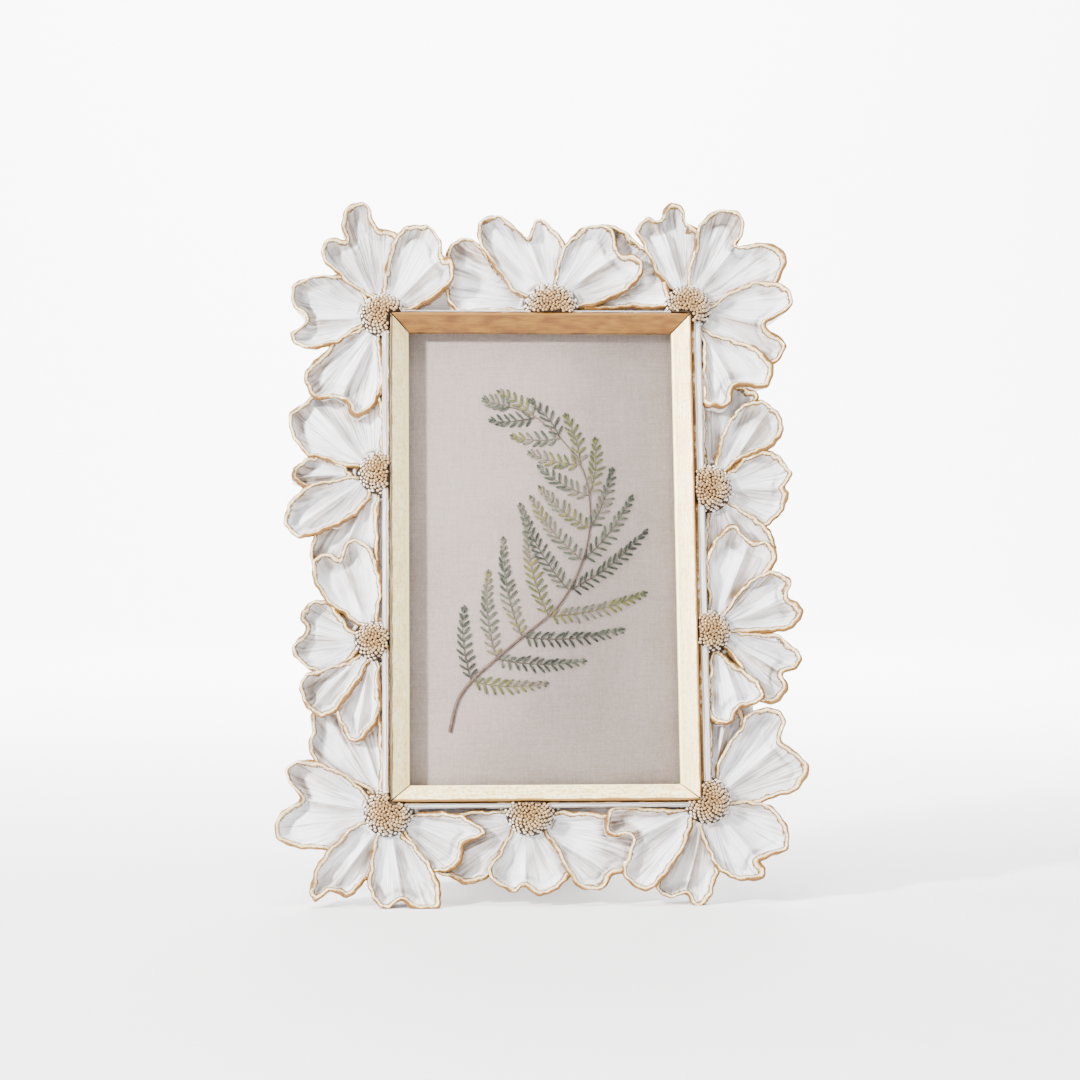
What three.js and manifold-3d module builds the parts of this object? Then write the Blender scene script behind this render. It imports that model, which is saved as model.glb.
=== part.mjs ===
// A table-top picture frame: a white cast border of ten flowers in relief round a gilt bevelled slip,
// with a fern sprig pressed between the glass and a linen card, leaning back on an easel strut.
// Millimetres. Every piece is made upright in the plane of the glass (x right, y up, z to the viewer,
// z = 0 on the back of the casting) and the whole then leans back and stands on z = 0.

import * as THREE from "three";
import { mergeVertices } from "three/addons/utils/BufferGeometryUtils.js";
import Module from "manifold-3d";

// Driving dimensions
const LEAN = 12;
const GAP = 0.3;
const RIDGE = { x: 48.25, y: 78.15 };
const SIGHT = { x: 42.3, y: 72.75 };
const PANE = { x: 46.3, y: 76.7 };
const BOARD_TOP = 2.2;
const CARD = { bottom: 2.5, top: 3.3 };
const FERN = { bottom: 3.6, top: 4.0 };
const GLASS = { bottom: 4.3, top: 6.3 };
const SLIP = { bottom: 6.6, sight: 9.0, ridge: 13.5 };
const COLLAR = { left: 2.2, right: 3.0, top: 0.8, bottom: 1.6, height: 12.3 };
const GROUND_RING = { x: 66, y: 93, corner: 12, height: 6.3 };
const RIM = { centre: 9.6, tip: 11.4, step: 0.8 };
const CUP = { centre: 0.7, tip: 3.0 };
const WALL_DRAFT = 3.5;
const TUCKED = 6.0;
const STAMEN = { socket: 8.3, edge: 10.8, shoulder: 13.8, crown: 15.0, sides: 11 };
const STAND_LINE = -105.9;
const BUTTON = { x: 54, y: 45, reach: 13, half: 3, thick: 1 };
const SCREW = { shank: 1.2, hole: 1.5, head: 2.5, headThick: 1.2, depth: 4.0 };
const HINGE = { y: 30, z: -3.3, pin: 1.0, bore: 1.3, knuckle: 2.1, thick: 0.8, tall: 14, halfWide: 13, sides: 8 };
const KNUCKLES = { inner: 5, outer: 12, block: [0.4, 3.2] };
const STRUT_LEAF = { half: 0.4, halfWide: 4.7, heel: 3.1, tail: -15 };
const STRUT = { open: 30, top: 4, length: 158, thick: 3, topHalf: 15, footHalf: 25 };
const RIVET = { shank: 0.9, hole: 1.2, head: 1.9, headThick: 0.8, depth: 1.4 };
const HINGE_RIVETS = { x: 8, aboveHinge: 9 };
const STRUT_RIVETS = [["upper", -7.5], ["lower", -12]];
const PIN_SIDES = 8;

// Each flower: the place of its centre, its stamen disc [x, y, radius], and its petals as [rank, outline].
// A petal of higher rank lies over its neighbours. Outlines run round the petal, from the flower's centre.
const FLOWERS = {
  top_left: {
    at: [-50.5, 78], stamen: [0, 0, 7.5], petals: [
      [4, [[-1, 5], [-5, 6], [-15, 13], [-19, 17], [-20, 20], [-19, 23], [-16, 25], [-11.7, 24.5], [-13.5, 28],
        [-13, 32], [-11, 35.5], [-7.5, 36.7], [-4.5, 35.5], [-1.5, 28.5], [4, 27], [6, 22], [4, 14], [2, 7]]],
      [5, [[0, 5], [0, 12], [3, 23], [5, 26.5], [8, 28.5], [11, 29], [15, 28.5], [17.5, 26], [19, 22.5],
        [19.3, 19.5], [22, 18], [23, 15.5], [23, 12], [21.5, 9], [19, 6.5], [8.5, 1], [3, 1]]],
      [3, [[-3, 3], [-6, 8], [-11, 12.5], [-20, 12.5], [-25, 11.5], [-28.5, 9.5], [-29.5, 6], [-28.5, 2],
        [-24.7, -1.5], [-26, -4.5], [-29.5, -6.5], [-29, -9], [-26, -11.5], [-22, -12], [-16, -10.5],
        [-7, -4.5], [-3, -2]]],
      [2, [[-3, -3], [-9, -5], [-16, -9], [-19, -13], [-23, -16.5], [-25, -20], [-24.5, -24], [-22.5, -27.5],
        [-19, -28.5], [-15, -27.5], [-12.3, -28.5], [-10.5, -33], [-8, -33.8], [-4.5, -32.5], [-2, -29.5],
        [0, -25], [0.7, -20], [0, -13], [-1, -6]]],
    ],
  },
  top_middle: {
    at: [4, 83.5], stamen: [-0.5, -3.5, 9], petals: [
      [1, [[-5, -1], [-9.5, 0.5], [-13, 3], [-20.5, 12.5], [-23.5, 18], [-24.5, 22], [-23, 26], [-19.5, 28],
        [-16.5, 27.5], [-12, 24.5], [-8, 20.8], [-6, 25.5], [-3.5, 26.5], [-0.5, 24.5], [5, 17], [3, 5],
        [0, 0]]],
      [2, [[0, 1], [1, 10], [3, 15.5], [5.5, 20], [9, 23], [13, 24.5], [17, 24.5], [20, 22.5], [22, 15],
        [25, 15], [28, 13.5], [29.7, 11], [28.5, 7], [25.5, 3.5], [21.5, 1], [11, -3], [4, -3]]],
      [0, [[-4, -4], [-15, -4.3], [-31, -4.5], [-33.5, -1], [-35, 6], [-35, 12], [-32.5, 18.5], [-29, 20.3],
        [-25, 19.5], [-16, 9], [-8, 3]]],
      [0, [[6, 0], [15, 12], [14, 21], [17, 25], [21.5, 24.5], [27.5, 19.5], [34, 14], [38, 4], [37, -2.5],
        [25, -3], [12, -3.5]]],
    ],
  },
  top_right: {
    at: [48, 81.5], stamen: [-0.5, -0.75, 7.8], petals: [
      [1, [[-3, 4], [-9, 8.5], [-15, 20.5], [-17, 24], [-16, 27], [-13, 29.5], [-9.3, 28.6], [-8, 31.5],
        [-6, 34], [-3.5, 34.3], [-1, 32], [0, 28], [4, 25], [3.5, 16], [2, 6]]],
      [2, [[0, 3], [-0.5, 8], [2, 21], [3, 26], [9, 31.5], [13, 32], [16.5, 31], [18.5, 28], [18.5, 24.5],
        [16, 19.9], [20, 20.6], [29, 20], [31.5, 17], [32, 14], [30.5, 10], [27, 5], [18, 3], [8, 0], [3, 0]]],
      [3, [[3, -1], [8.5, 1.5], [14, 5.5], [24, 7.8], [29, 7], [32.5, 5], [33.5, 2], [32.5, -1.5], [29.5, -4],
        [24.6, -6.8], [30, -12], [31, -14.5], [27, -20], [23, -20], [14, -15], [6, -10], [2, -4]]],
      [4, [[2, -4], [6, -8], [15, -12], [20, -14], [24, -17], [26.5, -21], [26, -25.5], [24, -28], [20, -28.3],
        [16.5, -27.3], [13.8, -28], [13, -32], [10.5, -34.5], [7, -34.5], [3.6, -33], [3, -28], [3.5, -20],
        [4, -13]]],
    ],
  },
  left_upper: {
    at: [-53.5, 26.5], stamen: [2.2, -0.2, 7.3], petals: [
      [1, [[-1, 1], [-8, 1.5], [-18, 4.5], [-21, 5], [-24, 8.5], [-26, 12], [-27, 15.5], [-26.5, 19],
        [-21, 23.5], [-17, 27], [-8, 29], [-1, 28], [3, 22], [4, 13], [3, 4]]],
      [0, [[-6, -1], [-17, 6], [-23.5, 3], [-26, 0], [-25.5, -2.5], [-23.5, -4.5], [-18, -6], [-12, -4]]],
      [2, [[-2, -1], [-14, -2.5], [-20, -4], [-26.5, -10], [-28, -14], [-28, -17], [-26, -20], [-22.5, -21.7],
        [-15, -19.5], [-6, -14.5], [-3, -11.5], [0, -6]]],
      [0, [[-1, -5], [-12, -12], [-18, -18], [-19.5, -22], [-19.5, -30], [-14, -34], [-5, -34], [1, -33],
        [2, -27], [1.8, -15], [2, -6]]],
    ],
  },
  left_lower: {
    at: [-54, -27.5], stamen: [0.7, 0.1, 6.4], petals: [
      [1, [[-1, 2], [-7, 7], [-11, 9.5], [-15, 13], [-17.5, 17], [-19, 21], [-18.5, 25], [-16.5, 27.5],
        [-13.5, 28], [-10.2, 26.5], [-9.5, 29.5], [-7, 32], [-4.5, 32.3], [-1.5, 30.5], [1, 27], [3.3, 19],
        [2.5, 9], [2, 3]]],
      [0, [[-2, 1], [-7, 5], [-13, 13], [-16, 13.3], [-19, 12.5], [-21.5, 10.5], [-22.5, 7.5], [-21, 3.5],
        [-25, -1.5], [-24.5, -4.5], [-19.5, -9], [-15, -11], [-8, -8], [-3, -2]]],
      [3, [[-1, -2], [-5, -4.5], [-13, -8], [-21, -11], [-22.5, -14.5], [-22, -18], [-20.5, -21], [-18, -23.5],
        [-15, -24.3], [-12, -23.5], [-6, -16.5], [-1.5, -9], [0, -4]]],
      [2, [[-1, -4], [-6, -13], [-12, -19], [-10, -26], [-8.5, -29.5], [-6, -32], [-3.5, -31.8], [-0.5, -29],
        [2, -25.5], [3, -21], [3, -15], [2, -6]]],
    ],
  },
  bottom_left: {
    at: [-48.5, -81.5], stamen: [-0.5, 0.3, 7.8], petals: [
      [0, [[-3, 3], [-8, 8], [-15, 11], [-22, 14], [-25, 20], [-25.3, 23], [-24, 26], [-24.6, 31], [-20, 35],
        [-12, 33], [-4, 33], [-2, 27], [-1.5, 20], [-1.3, 9]]],
      [1, [[-3, 1], [-12, 11], [-23, 16.5], [-27, 17], [-30.5, 15.5], [-32.5, 13], [-31.5, 10], [-28, 5],
        [-33.5, 0.5], [-35.5, -3], [-35, -7], [-32.5, -9.5], [-22, -11.3], [-16, -11], [-10, -5], [-4, -2]]],
      [2, [[-3, -2], [-10, -3], [-18, -10], [-22, -15], [-24, -20], [-24.5, -25], [-23, -27.3], [-18.5, -24.3],
        [-13, -26], [-11, -25.3], [-7.5, -21], [-4, -20], [-2, -12], [-1, -5]]],
      [3, [[-2, -4], [-5, -8], [-6.5, -17], [-7, -21], [-6, -25], [-4, -28], [-1, -29.7], [3.3, -27],
        [5.5, -29], [8, -30], [12, -30.2], [15, -29.5], [16, -26], [15.5, -22], [13.5, -17], [7, -8.5],
        [2, -4]]],
      [2, [[3, -2], [7, 0], [13, 0.8], [20, 0], [25, -2], [30, -6.5], [23.7, -10], [22, -16], [19, -18],
        [15, -18.5], [11, -18], [8, -12], [4, -6]]],
    ],
  },
  bottom_middle: {
    at: [-6, -84], stamen: [1, 3, 8], petals: [
      [2, [[-3, 0], [-8, -8], [-12.5, -15], [-12, -17.5], [-7, -21.5], [-4, -22.3], [-1.5, -20.8], [3.5, -23.5],
        [7, -22.7], [13, -18], [15, -15], [11, -8], [6, 0]]],
      [3, [[3, 1], [9, -10], [13, -18], [15, -20.5], [17.5, -21.7], [23, -21.5], [27, -17.3], [33, -16],
        [36, -8], [34, 1], [24, 2], [14, 3], [7, 3]]],
      [0, [[-2, 2], [-12, 3.5], [-20, 3], [-27, 0], [-31, -8], [-29, -15], [-23, -18], [-20, -19.5],
        [-17, -19.7], [-9, -15], [-6, -8], [-1, -2]]],
    ],
  },
  bottom_right: {
    at: [51, -78.5], stamen: [-0.8, 0.5, 7.6], petals: [
      [0, [[0, 5], [-0.3, 12], [0, 20], [0, 28], [4, 32], [10, 30], [12, 24], [9, 16], [5, 7]]],
      [1, [[2, 3], [2, 10], [4, 15], [10, 23.5], [12, 27], [16, 29.2], [23, 28.5], [24.5, 25], [23.3, 19.5],
        [28, 15], [31, 12], [31.5, 9.5], [30, 6], [27, 3], [18, 0.3], [12, -2], [5, -2]]],
      [2, [[3, 0], [12, 0.5], [17, -0.5], [20, -2], [22.5, -5], [24.3, -9], [24.5, -13], [23.5, -15.5],
        [15.3, -19], [17, -20.5], [17, -22.5], [15.5, -24.3], [12, -25], [8, -24.5], [2, -21.5], [-2, -13],
        [-3.5, -8], [-1, -3]]],
      [0, [[-3, -4], [-7, -7], [-11, -14], [-16, -21], [-17.5, -26], [-15.5, -28.7], [-13, -30], [-8.5, -28.6],
        [-6, -32], [-3, -32.5], [-0.5, -30], [0.8, -27], [3, -19], [1, -12], [-1, -5]]],
      [4, [[-3, -2], [-5, -6], [-6, -10], [-8.5, -15], [-15.5, -24.5], [-18, -27], [-21, -27.7], [-24.5, -26.5],
        [-27, -24], [-28, -20], [-26, -16], [-24.5, -11], [-31.5, -10.8], [-33.5, -8], [-33, -5], [-31, -2],
        [-28, -0.9], [-15, -2]]],
    ],
  },
  right_upper: {
    at: [55, 21.5], stamen: [-2.5, -0.2, 8.2], petals: [
      [0, [[-2, 4], [-4, 12], [-4, 22], [-4, 30], [6, 34], [13, 32], [15, 30], [8, 18], [3, 6]]],
      [1, [[0, 5], [1.5, 15], [7, 25], [10, 27.5], [14, 28.7], [17, 28], [20.5, 25], [22.5, 21], [22, 17],
        [20, 14], [17, 12], [7, 8], [3, 4]]],
      [0, [[2, 2], [8, 9], [14, 12], [19, 12], [24, 6.5], [25, 4.5], [23, 0], [23.8, -2], [21.5, -8], [15, -13],
        [8, -9], [2, -4]]],
      [1, [[0, -3], [10, -7.5], [14, -10.3], [17, -13.5], [18.7, -17], [19, -20], [16, -24], [8, -26], [0, -26],
        [-3.5, -24], [-3.8, -15], [-2, -6]]],
    ],
  },
  right_lower: {
    at: [54, -24], stamen: [-2, -0.7, 7.1], petals: [
      [2, [[-1, 3], [-2.3, 12], [-3, 19], [-2.5, 23], [1, 29.5], [4, 32.7], [7.5, 33.3], [10, 29.7], [12, 28.3],
        [15, 28.3], [18, 27], [20, 25], [20.5, 23], [15, 14], [8, 8], [2, 3]]],
      [3, [[1, 2], [5, 9], [8, 13], [12, 16], [17, 18], [20, 18], [23, 16.5], [24.5, 14.5], [23.3, 9.7],
        [26, 8.5], [27.8, 6], [27.3, 3], [25.5, 0.5], [22, -1.2], [16, -1.6], [8, -1.4], [2, -1]]],
      [3, [[2, 0], [13, -1.4], [18, -1.3], [21, -3], [27, -9], [27, -11], [24.5, -13.5], [21.3, -14.7],
        [22.5, -19.5], [18.5, -24], [14, -24], [10, -17], [5, -9], [1, -4]]],
      [4, [[-1, -4], [4, -9], [12, -16], [14.5, -19.5], [15, -21.5], [13.5, -23.5], [11, -25], [7, -25.7],
        [4.5, -30], [2, -31], [-0.5, -30.3], [-3, -28], [-3.5, -24], [-2.3, -12], [-2, -6]]],
    ],
  },
};

// The fern: its stalk, and how its opposite leaflets stand along it. Angles to the stalk and lengths are
// read evenly along the frond, from the lowest pair to the highest.
const STALK = [[-29.7, -55.6], [-27, -45.3], [-22.8, -39.5], [-8.8, -27.1], [6.3, -13.7], [15.1, 7.9], [13, 29.6],
  [-1.8, 46.1], [-13, 50.4]];
const FROND = { pairs: 11, first: 0.131, last: 0.912, left: [48, 61, 59, 56, 50, 38], right: [48, 34, 21, 14, 10, 2],
  lengths: [23, 31.5, 31, 20, 16, 13.5], curl: 24, endLeaflet: 8.5, halfWidth: 2.8, teeth: 3, stalkHalf: 0.35 };

const MATERIALS = {
  enamel: new THREE.MeshStandardMaterial({ color: 0xefedf0, roughness: 0.45, metalness: 0 }),
  gilt: new THREE.MeshStandardMaterial({ color: 0xe9d9b4, roughness: 0.4, metalness: 0.5 }),
  beads: new THREE.MeshStandardMaterial({ color: 0xc9ab84, roughness: 0.35, metalness: 0.7 }),
  glass: new THREE.MeshStandardMaterial({ color: 0xf4f8f8, roughness: 0.05, transparent: true, opacity: 0.25 }),
  linen: new THREE.MeshStandardMaterial({ color: 0xcbc2bb, roughness: 0.9, metalness: 0 }),
  fern: new THREE.MeshStandardMaterial({ color: 0x6f7b5a, roughness: 0.8, metalness: 0 }),
  velvet: new THREE.MeshStandardMaterial({ color: 0xb8a994, roughness: 1, metalness: 0 }),
  steel: new THREE.MeshStandardMaterial({ color: 0xc9b889, roughness: 0.35, metalness: 0.9 }),
};

const manifold = await Module();
manifold.setup();
const radians = THREE.MathUtils.degToRad;

// Solids: a three.js geometry to a solid for joining and cutting, and back
function toSolid(geometry) {
  const bare = new THREE.BufferGeometry();
  bare.setAttribute("position", geometry.getAttribute("position").clone());
  if (geometry.index) bare.setIndex(geometry.index.clone());
  const welded = mergeVertices(bare, 1e-4);
  return new manifold.Manifold(new manifold.Mesh({
    numProp: 3,
    vertProperties: new Float32Array(welded.getAttribute("position").array),
    triVerts: new Uint32Array(welded.index.array),
  }));
}

function toGeometry(solid) {
  const mesh = solid.getMesh();
  const geometry = new THREE.BufferGeometry();
  geometry.setAttribute("position", new THREE.BufferAttribute(new Float32Array(mesh.vertProperties), 3));
  geometry.setIndex(new THREE.BufferAttribute(new Uint32Array(mesh.triVerts), 1));
  return geometry;
}

function boxSolid(low, high) {
  const geometry = new THREE.BoxGeometry(high[0] - low[0], high[1] - low[1], high[2] - low[2]);
  geometry.translate((low[0] + high[0]) / 2, (low[1] + high[1]) / 2, (low[2] + high[2]) / 2);
  return toSolid(geometry);
}

function discSolid(radius, x, y, low, high, sides) {
  const geometry = new THREE.CylinderGeometry(radius, radius, high - low, sides);
  geometry.rotateX(Math.PI / 2);
  geometry.translate(x, y, (low + high) / 2);
  return toSolid(geometry);
}

function barSolid(radius, halfLength, centre, y, z, sides) {
  const geometry = new THREE.CylinderGeometry(radius, radius, 2 * halfLength, sides);
  geometry.rotateZ(Math.PI / 2);
  geometry.translate(centre, y, z);
  return toSolid(geometry);
}

function plateGeometry(points, low, high) {
  const shape = new THREE.Shape(points.map(([x, y]) => new THREE.Vector2(x, y)));
  const geometry = new THREE.ExtrudeGeometry(shape, { depth: high - low, bevelEnabled: false });
  geometry.translate(0, 0, low);
  return geometry;
}

function turned(radiusHeights, sides) {
  const profile = radiusHeights.map(([radius, height]) => new THREE.Vector2(radius, height));
  const geometry = new THREE.LatheGeometry(profile, sides);
  geometry.rotateX(Math.PI / 2);
  return geometry;
}

// Plane geometry helpers
function inside(point, polygon) {
  let hit = false;
  for (let i = 0, j = polygon.length - 1; i < polygon.length; j = i, i += 1) {
    const [ax, ay] = polygon[i];
    const [bx, by] = polygon[j];
    const crosses = (ay > point[1]) !== (by > point[1]);
    if (crosses && point[0] < ((bx - ax) * (point[1] - ay)) / (by - ay) + ax) hit = !hit;
  }
  return hit;
}

// Every petal with its outline in the frame's own plane, running anticlockwise
const petals = Object.values(FLOWERS).flatMap((flower) => flower.petals.map(([rank, outline]) => {
  const placed = outline.map(([x, y]) => [x + flower.at[0], y + flower.at[1]]);
  const area = THREE.ShapeUtils.area(placed.map(([x, y]) => ({ x, y })));
  return { rank, centre: flower.at, outline: area < 0 ? placed.reverse() : placed };
}));

function hiddenUnderAnother(petal, point) {
  return petals.some((other) => other.rank > petal.rank && inside(point, other.outline));
}

function besideSlip(point) {
  return Math.abs(point[0]) < RIDGE.x + COLLAR.right + GAP && Math.abs(point[1]) < RIDGE.y + COLLAR.bottom + GAP;
}

function overGroundRing(point) {
  return Math.abs(point[0]) < GROUND_RING.x && Math.abs(point[1]) < GROUND_RING.y;
}

function petalHeight(petal, point, cupped) {
  const reach = Math.hypot(point[0] - petal.centre[0], point[1] - petal.centre[1]);
  const ramp = THREE.MathUtils.smoothstep(reach, 5, 26);
  let height = THREE.MathUtils.lerp(RIM.centre, RIM.tip + RIM.step * petal.rank, ramp);
  if (cupped) height -= THREE.MathUtils.lerp(CUP.centre, CUP.tip, ramp);
  if (besideSlip(point)) height = Math.min(height, COLLAR.height - 1.5);
  if (hiddenUnderAnother(petal, point)) height = Math.min(height, TUCKED);
  return height;
}

// A petal: a cupped shell with a raised rim on a solid wall, which tapers to the flat back where it
// stands out past the ground ring
function petalSolid(petal) {
  const count = petal.outline.length;
  const middle = petal.outline.reduce((sum, [x, y]) => [sum[0] + x / count, sum[1] + y / count], [0, 0]);
  const arm = [middle[0] - petal.centre[0], middle[1] - petal.centre[1]];
  const spine = new THREE.Line3(
    new THREE.Vector3(middle[0] - 0.55 * arm[0], middle[1] - 0.55 * arm[1], 0),
    new THREE.Vector3(middle[0] + 0.2 * arm[0], middle[1] + 0.2 * arm[1], 0),
  );
  const rings = [[], [], []];
  for (const [x, y] of petal.outline) {
    const rim = new THREE.Vector3(x, y, 0);
    const inner = spine.closestPointToPoint(rim, true, new THREE.Vector3());
    const draft = overGroundRing([x, y]) ? 0 : WALL_DRAFT;
    const back = rim.clone().lerp(inner, Math.min(draft / rim.distanceTo(inner), 0.6));
    const floor = rim.clone().lerp(inner, 0.38);
    rings[0].push([back.x, back.y, 0]);
    rings[1].push([x, y, petalHeight(petal, [x, y], false)]);
    rings[2].push([floor.x, floor.y, petalHeight(petal, [floor.x, floor.y], true)]);
  }
  const points = rings.flat();
  points.push([...middle, petalHeight(petal, middle, true)]);
  const faces = [];
  for (let i = 0; i < count; i += 1) {
    const next = (i + 1) % count;
    for (let ring = 0; ring < 2; ring += 1) {
      const low = ring * count;
      const high = low + count;
      faces.push(low + i, low + next, high + next, low + i, high + next, high + i);
    }
    faces.push(2 * count + i, 2 * count + next, 3 * count);
  }
  const footprint = rings[0].map(([x, y]) => new THREE.Vector2(x, y));
  for (const [a, b, c] of THREE.ShapeUtils.triangulateShape(footprint, [])) faces.push(a, c, b);
  const geometry = new THREE.BufferGeometry();
  geometry.setAttribute("position", new THREE.Float32BufferAttribute(points.flat(), 3));
  geometry.setIndex(faces);
  return toSolid(geometry);
}

function roundedPlate(halfX, halfY, corner, low, high) {
  const shape = new THREE.Shape();
  shape.moveTo(halfX - corner, -halfY);
  shape.absarc(halfX - corner, -halfY + corner, corner, -Math.PI / 2, 0);
  shape.absarc(halfX - corner, halfY - corner, corner, 0, Math.PI / 2);
  shape.absarc(-halfX + corner, halfY - corner, corner, Math.PI / 2, Math.PI);
  shape.absarc(-halfX + corner, -halfY + corner, corner, Math.PI, 1.5 * Math.PI);
  const geometry = new THREE.ExtrudeGeometry(shape, { depth: high - low, bevelEnabled: false, curveSegments: 4 });
  geometry.translate(0, 0, low);
  return toSolid(geometry);
}

// The pocket that the gilt slip sits in, the rebate behind it for glass, card and board
function slipPocket() {
  const x = RIDGE.x + GAP;
  const y = RIDGE.y + GAP;
  return boxSolid([-x, -y, GROUND_RING.height], [x, y, 30]);
}

function rebate() {
  const x = PANE.x + GAP;
  const y = PANE.y + GAP;
  return boxSolid([-x, -y, -1], [x, y, GROUND_RING.height + 1]);
}

// What lies below a level surface, for a piece that leans back by lean degrees and stands on it
function underfoot(level, lean) {
  const depth = 100;
  const geometry = new THREE.BoxGeometry(400, 400, depth);
  geometry.translate(0, 0, level - depth / 2);
  geometry.rotateX(-radians(90 - lean));
  return toSolid(geometry);
}

const buttonPlaces = [["upper_left", -1, 1], ["upper_right", 1, 1], ["lower_left", -1, -1], ["lower_right", 1, -1]];

function flowerBorder() {
  let solid = roundedPlate(GROUND_RING.x, GROUND_RING.y, GROUND_RING.corner, 0, GROUND_RING.height);
  const collarLow = [-RIDGE.x - GAP - COLLAR.left, -RIDGE.y - GAP - COLLAR.bottom, 1];
  const collarHigh = [RIDGE.x + GAP + COLLAR.right, RIDGE.y + GAP + COLLAR.top, COLLAR.height];
  solid = solid.add(boxSolid(collarLow, collarHigh));
  for (const petal of petals) solid = solid.add(petalSolid(petal));
  for (const flower of Object.values(FLOWERS)) {
    const [x, y, radius] = flower.stamen;
    const [fx, fy] = flower.at;
    solid = solid.add(discSolid(radius + 1.5, fx + x, fy + y, 1, STAMEN.socket + 0.5, STAMEN.sides));
    solid = solid.subtract(discSolid(radius + GAP, fx + x, fy + y, STAMEN.socket, 30, STAMEN.sides));
  }
  solid = solid.subtract(slipPocket()).subtract(rebate());
  for (const [, sideX, sideY] of buttonPlaces) {
    const hole = discSolid(SCREW.hole, sideX * BUTTON.x, sideY * BUTTON.y, -1, SCREW.depth + GAP, PIN_SIDES);
    solid = solid.subtract(hole);
  }
  return toGeometry(solid.subtract(underfoot(STAND_LINE, LEAN)));
}

// A beaded stamen disc, cut off square where the slip passes
function stamenDome(flower) {
  const [x, y, radius] = flower.stamen;
  const base = STAMEN.socket + GAP;
  const dome = turned([[0, base], [radius, base], [radius, STAMEN.edge], [radius * 0.72, STAMEN.shoulder],
    [0, STAMEN.crown]], STAMEN.sides);
  dome.translate(flower.at[0] + x, flower.at[1] + y, 0);
  return toGeometry(toSolid(dome).subtract(slipPocket()));
}

// One mitred length of the slip: the gap at its mitres is a hair line
function slipRail(side) {
  const upright = side === "left" || side === "right";
  const outer = upright ? RIDGE.x : RIDGE.y;
  const sight = upright ? SIGHT.x : SIGHT.y;
  const outerLength = (upright ? RIDGE.y : RIDGE.x) - GAP;
  const sightLength = (upright ? SIGHT.y : SIGHT.x) - GAP;
  const sections = [-1, 1].map((end) => [
    [outer, end * outerLength, SLIP.bottom], [outer, end * outerLength, SLIP.ridge],
    [outer - 0.7, end * (outerLength - 0.7), SLIP.ridge],
    [sight, end * sightLength, SLIP.sight], [sight, end * sightLength, SLIP.bottom],
  ]);
  const points = sections.flat();
  const sides = 5;
  const faces = [];
  for (let i = 0; i < sides; i += 1) {
    const next = (i + 1) % sides;
    faces.push(i, sides + i, sides + next, i, sides + next, next);
  }
  for (let i = 1; i < sides - 1; i += 1) faces.push(0, i, i + 1, sides, sides + i + 1, sides + i);
  const geometry = new THREE.BufferGeometry();
  geometry.setAttribute("position", new THREE.Float32BufferAttribute(points.flat(), 3));
  geometry.setIndex(faces);
  const turn = { right: 0, top: 90, left: 180, bottom: 270 }[side];
  geometry.rotateZ(radians(turn));
  return geometry;
}

// A value read evenly between listed ones, t running from 0 to 1
function between(values, t) {
  const at = t * (values.length - 1);
  const low = Math.min(Math.floor(at), values.length - 2);
  return THREE.MathUtils.lerp(values[low], values[low + 1], at - low);
}

// A leaflet: a flat saw-toothed blade along a gently curved rib. A tooth points forward, and is followed
// by a notch that reaches this share of it; the blade is widest below its middle.
function leaflet(start, direction, length, bend) {
  const notch = 0.45;
  const forward = 25;
  const rib = [];
  const steps = 2 * FROND.teeth;
  const place = new THREE.Vector2(...start);
  for (let i = 0; i <= steps; i += 1) {
    rib.push([place.clone(), direction + (bend * i) / steps]);
    const heading = radians(direction + (bend * i) / steps);
    place.add(new THREE.Vector2(Math.cos(heading), Math.sin(heading)).multiplyScalar(length / steps));
  }
  const edge = (side) => rib.slice(1, -1).map(([point, heading], i) => {
    const tooth = i % 2 === 0 ? 1 : notch;
    const swell = between([0.6, 0.95, 1, 0.85, 0.3], (i + 1) / steps);
    const half = FROND.halfWidth * tooth * swell * side;
    const normal = radians(heading + 90 - side * forward);
    return [point.x + half * Math.cos(normal), point.y + half * Math.sin(normal)];
  });
  const tip = rib[steps][0];
  const root = rib[0][0];
  const outline = [[root.x, root.y], ...edge(-1), [tip.x, tip.y], ...edge(1).reverse()];
  return toSolid(plateGeometry(outline, FERN.bottom, FERN.top));
}

function fernSprig() {
  const middle = (FERN.top + FERN.bottom) / 2;
  const halfDepth = (FERN.top - FERN.bottom) / 2;
  const curve = new THREE.CatmullRomCurve3(STALK.map(([x, y]) => new THREE.Vector3(x, y, middle)), false, "centripetal");
  const section = new THREE.Shape([[-1, -1], [1, -1], [1, 1], [-1, 1]].map(
    ([across, up]) => new THREE.Vector2(across * halfDepth, up * FROND.stalkHalf),
  ));
  let solid = toSolid(new THREE.ExtrudeGeometry(section, { steps: 16, extrudePath: curve, bevelEnabled: false }));
  const headingAt = (share) => {
    const tangent = curve.getTangentAt(share);
    return THREE.MathUtils.radToDeg(Math.atan2(tangent.y, tangent.x));
  };
  const addLeaflet = (share, turn, length, bend) => {
    const { x, y } = curve.getPointAt(share);
    solid = solid.add(leaflet([x, y], headingAt(share) + turn, length, bend));
  };
  for (let pair = 0; pair < FROND.pairs; pair += 1) {
    const along = pair / (FROND.pairs - 1);
    const share = THREE.MathUtils.lerp(FROND.first, FROND.last, along);
    const length = between(FROND.lengths, along);
    addLeaflet(share, between(FROND.left, along) + FROND.curl / 2, length, -FROND.curl);
    addLeaflet(share, -between(FROND.right, along) - FROND.curl / 2, length, FROND.curl);
  }
  addLeaflet(0.96, 0, FROND.endLeaflet, 0);
  return toGeometry(solid);
}

function hingeRivetHole(side, low, high) {
  const y = HINGE.y + HINGE_RIVETS.aboveHinge;
  return discSolid(RIVET.hole, side * HINGE_RIVETS.x, y, low, high, PIN_SIDES);
}

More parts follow.
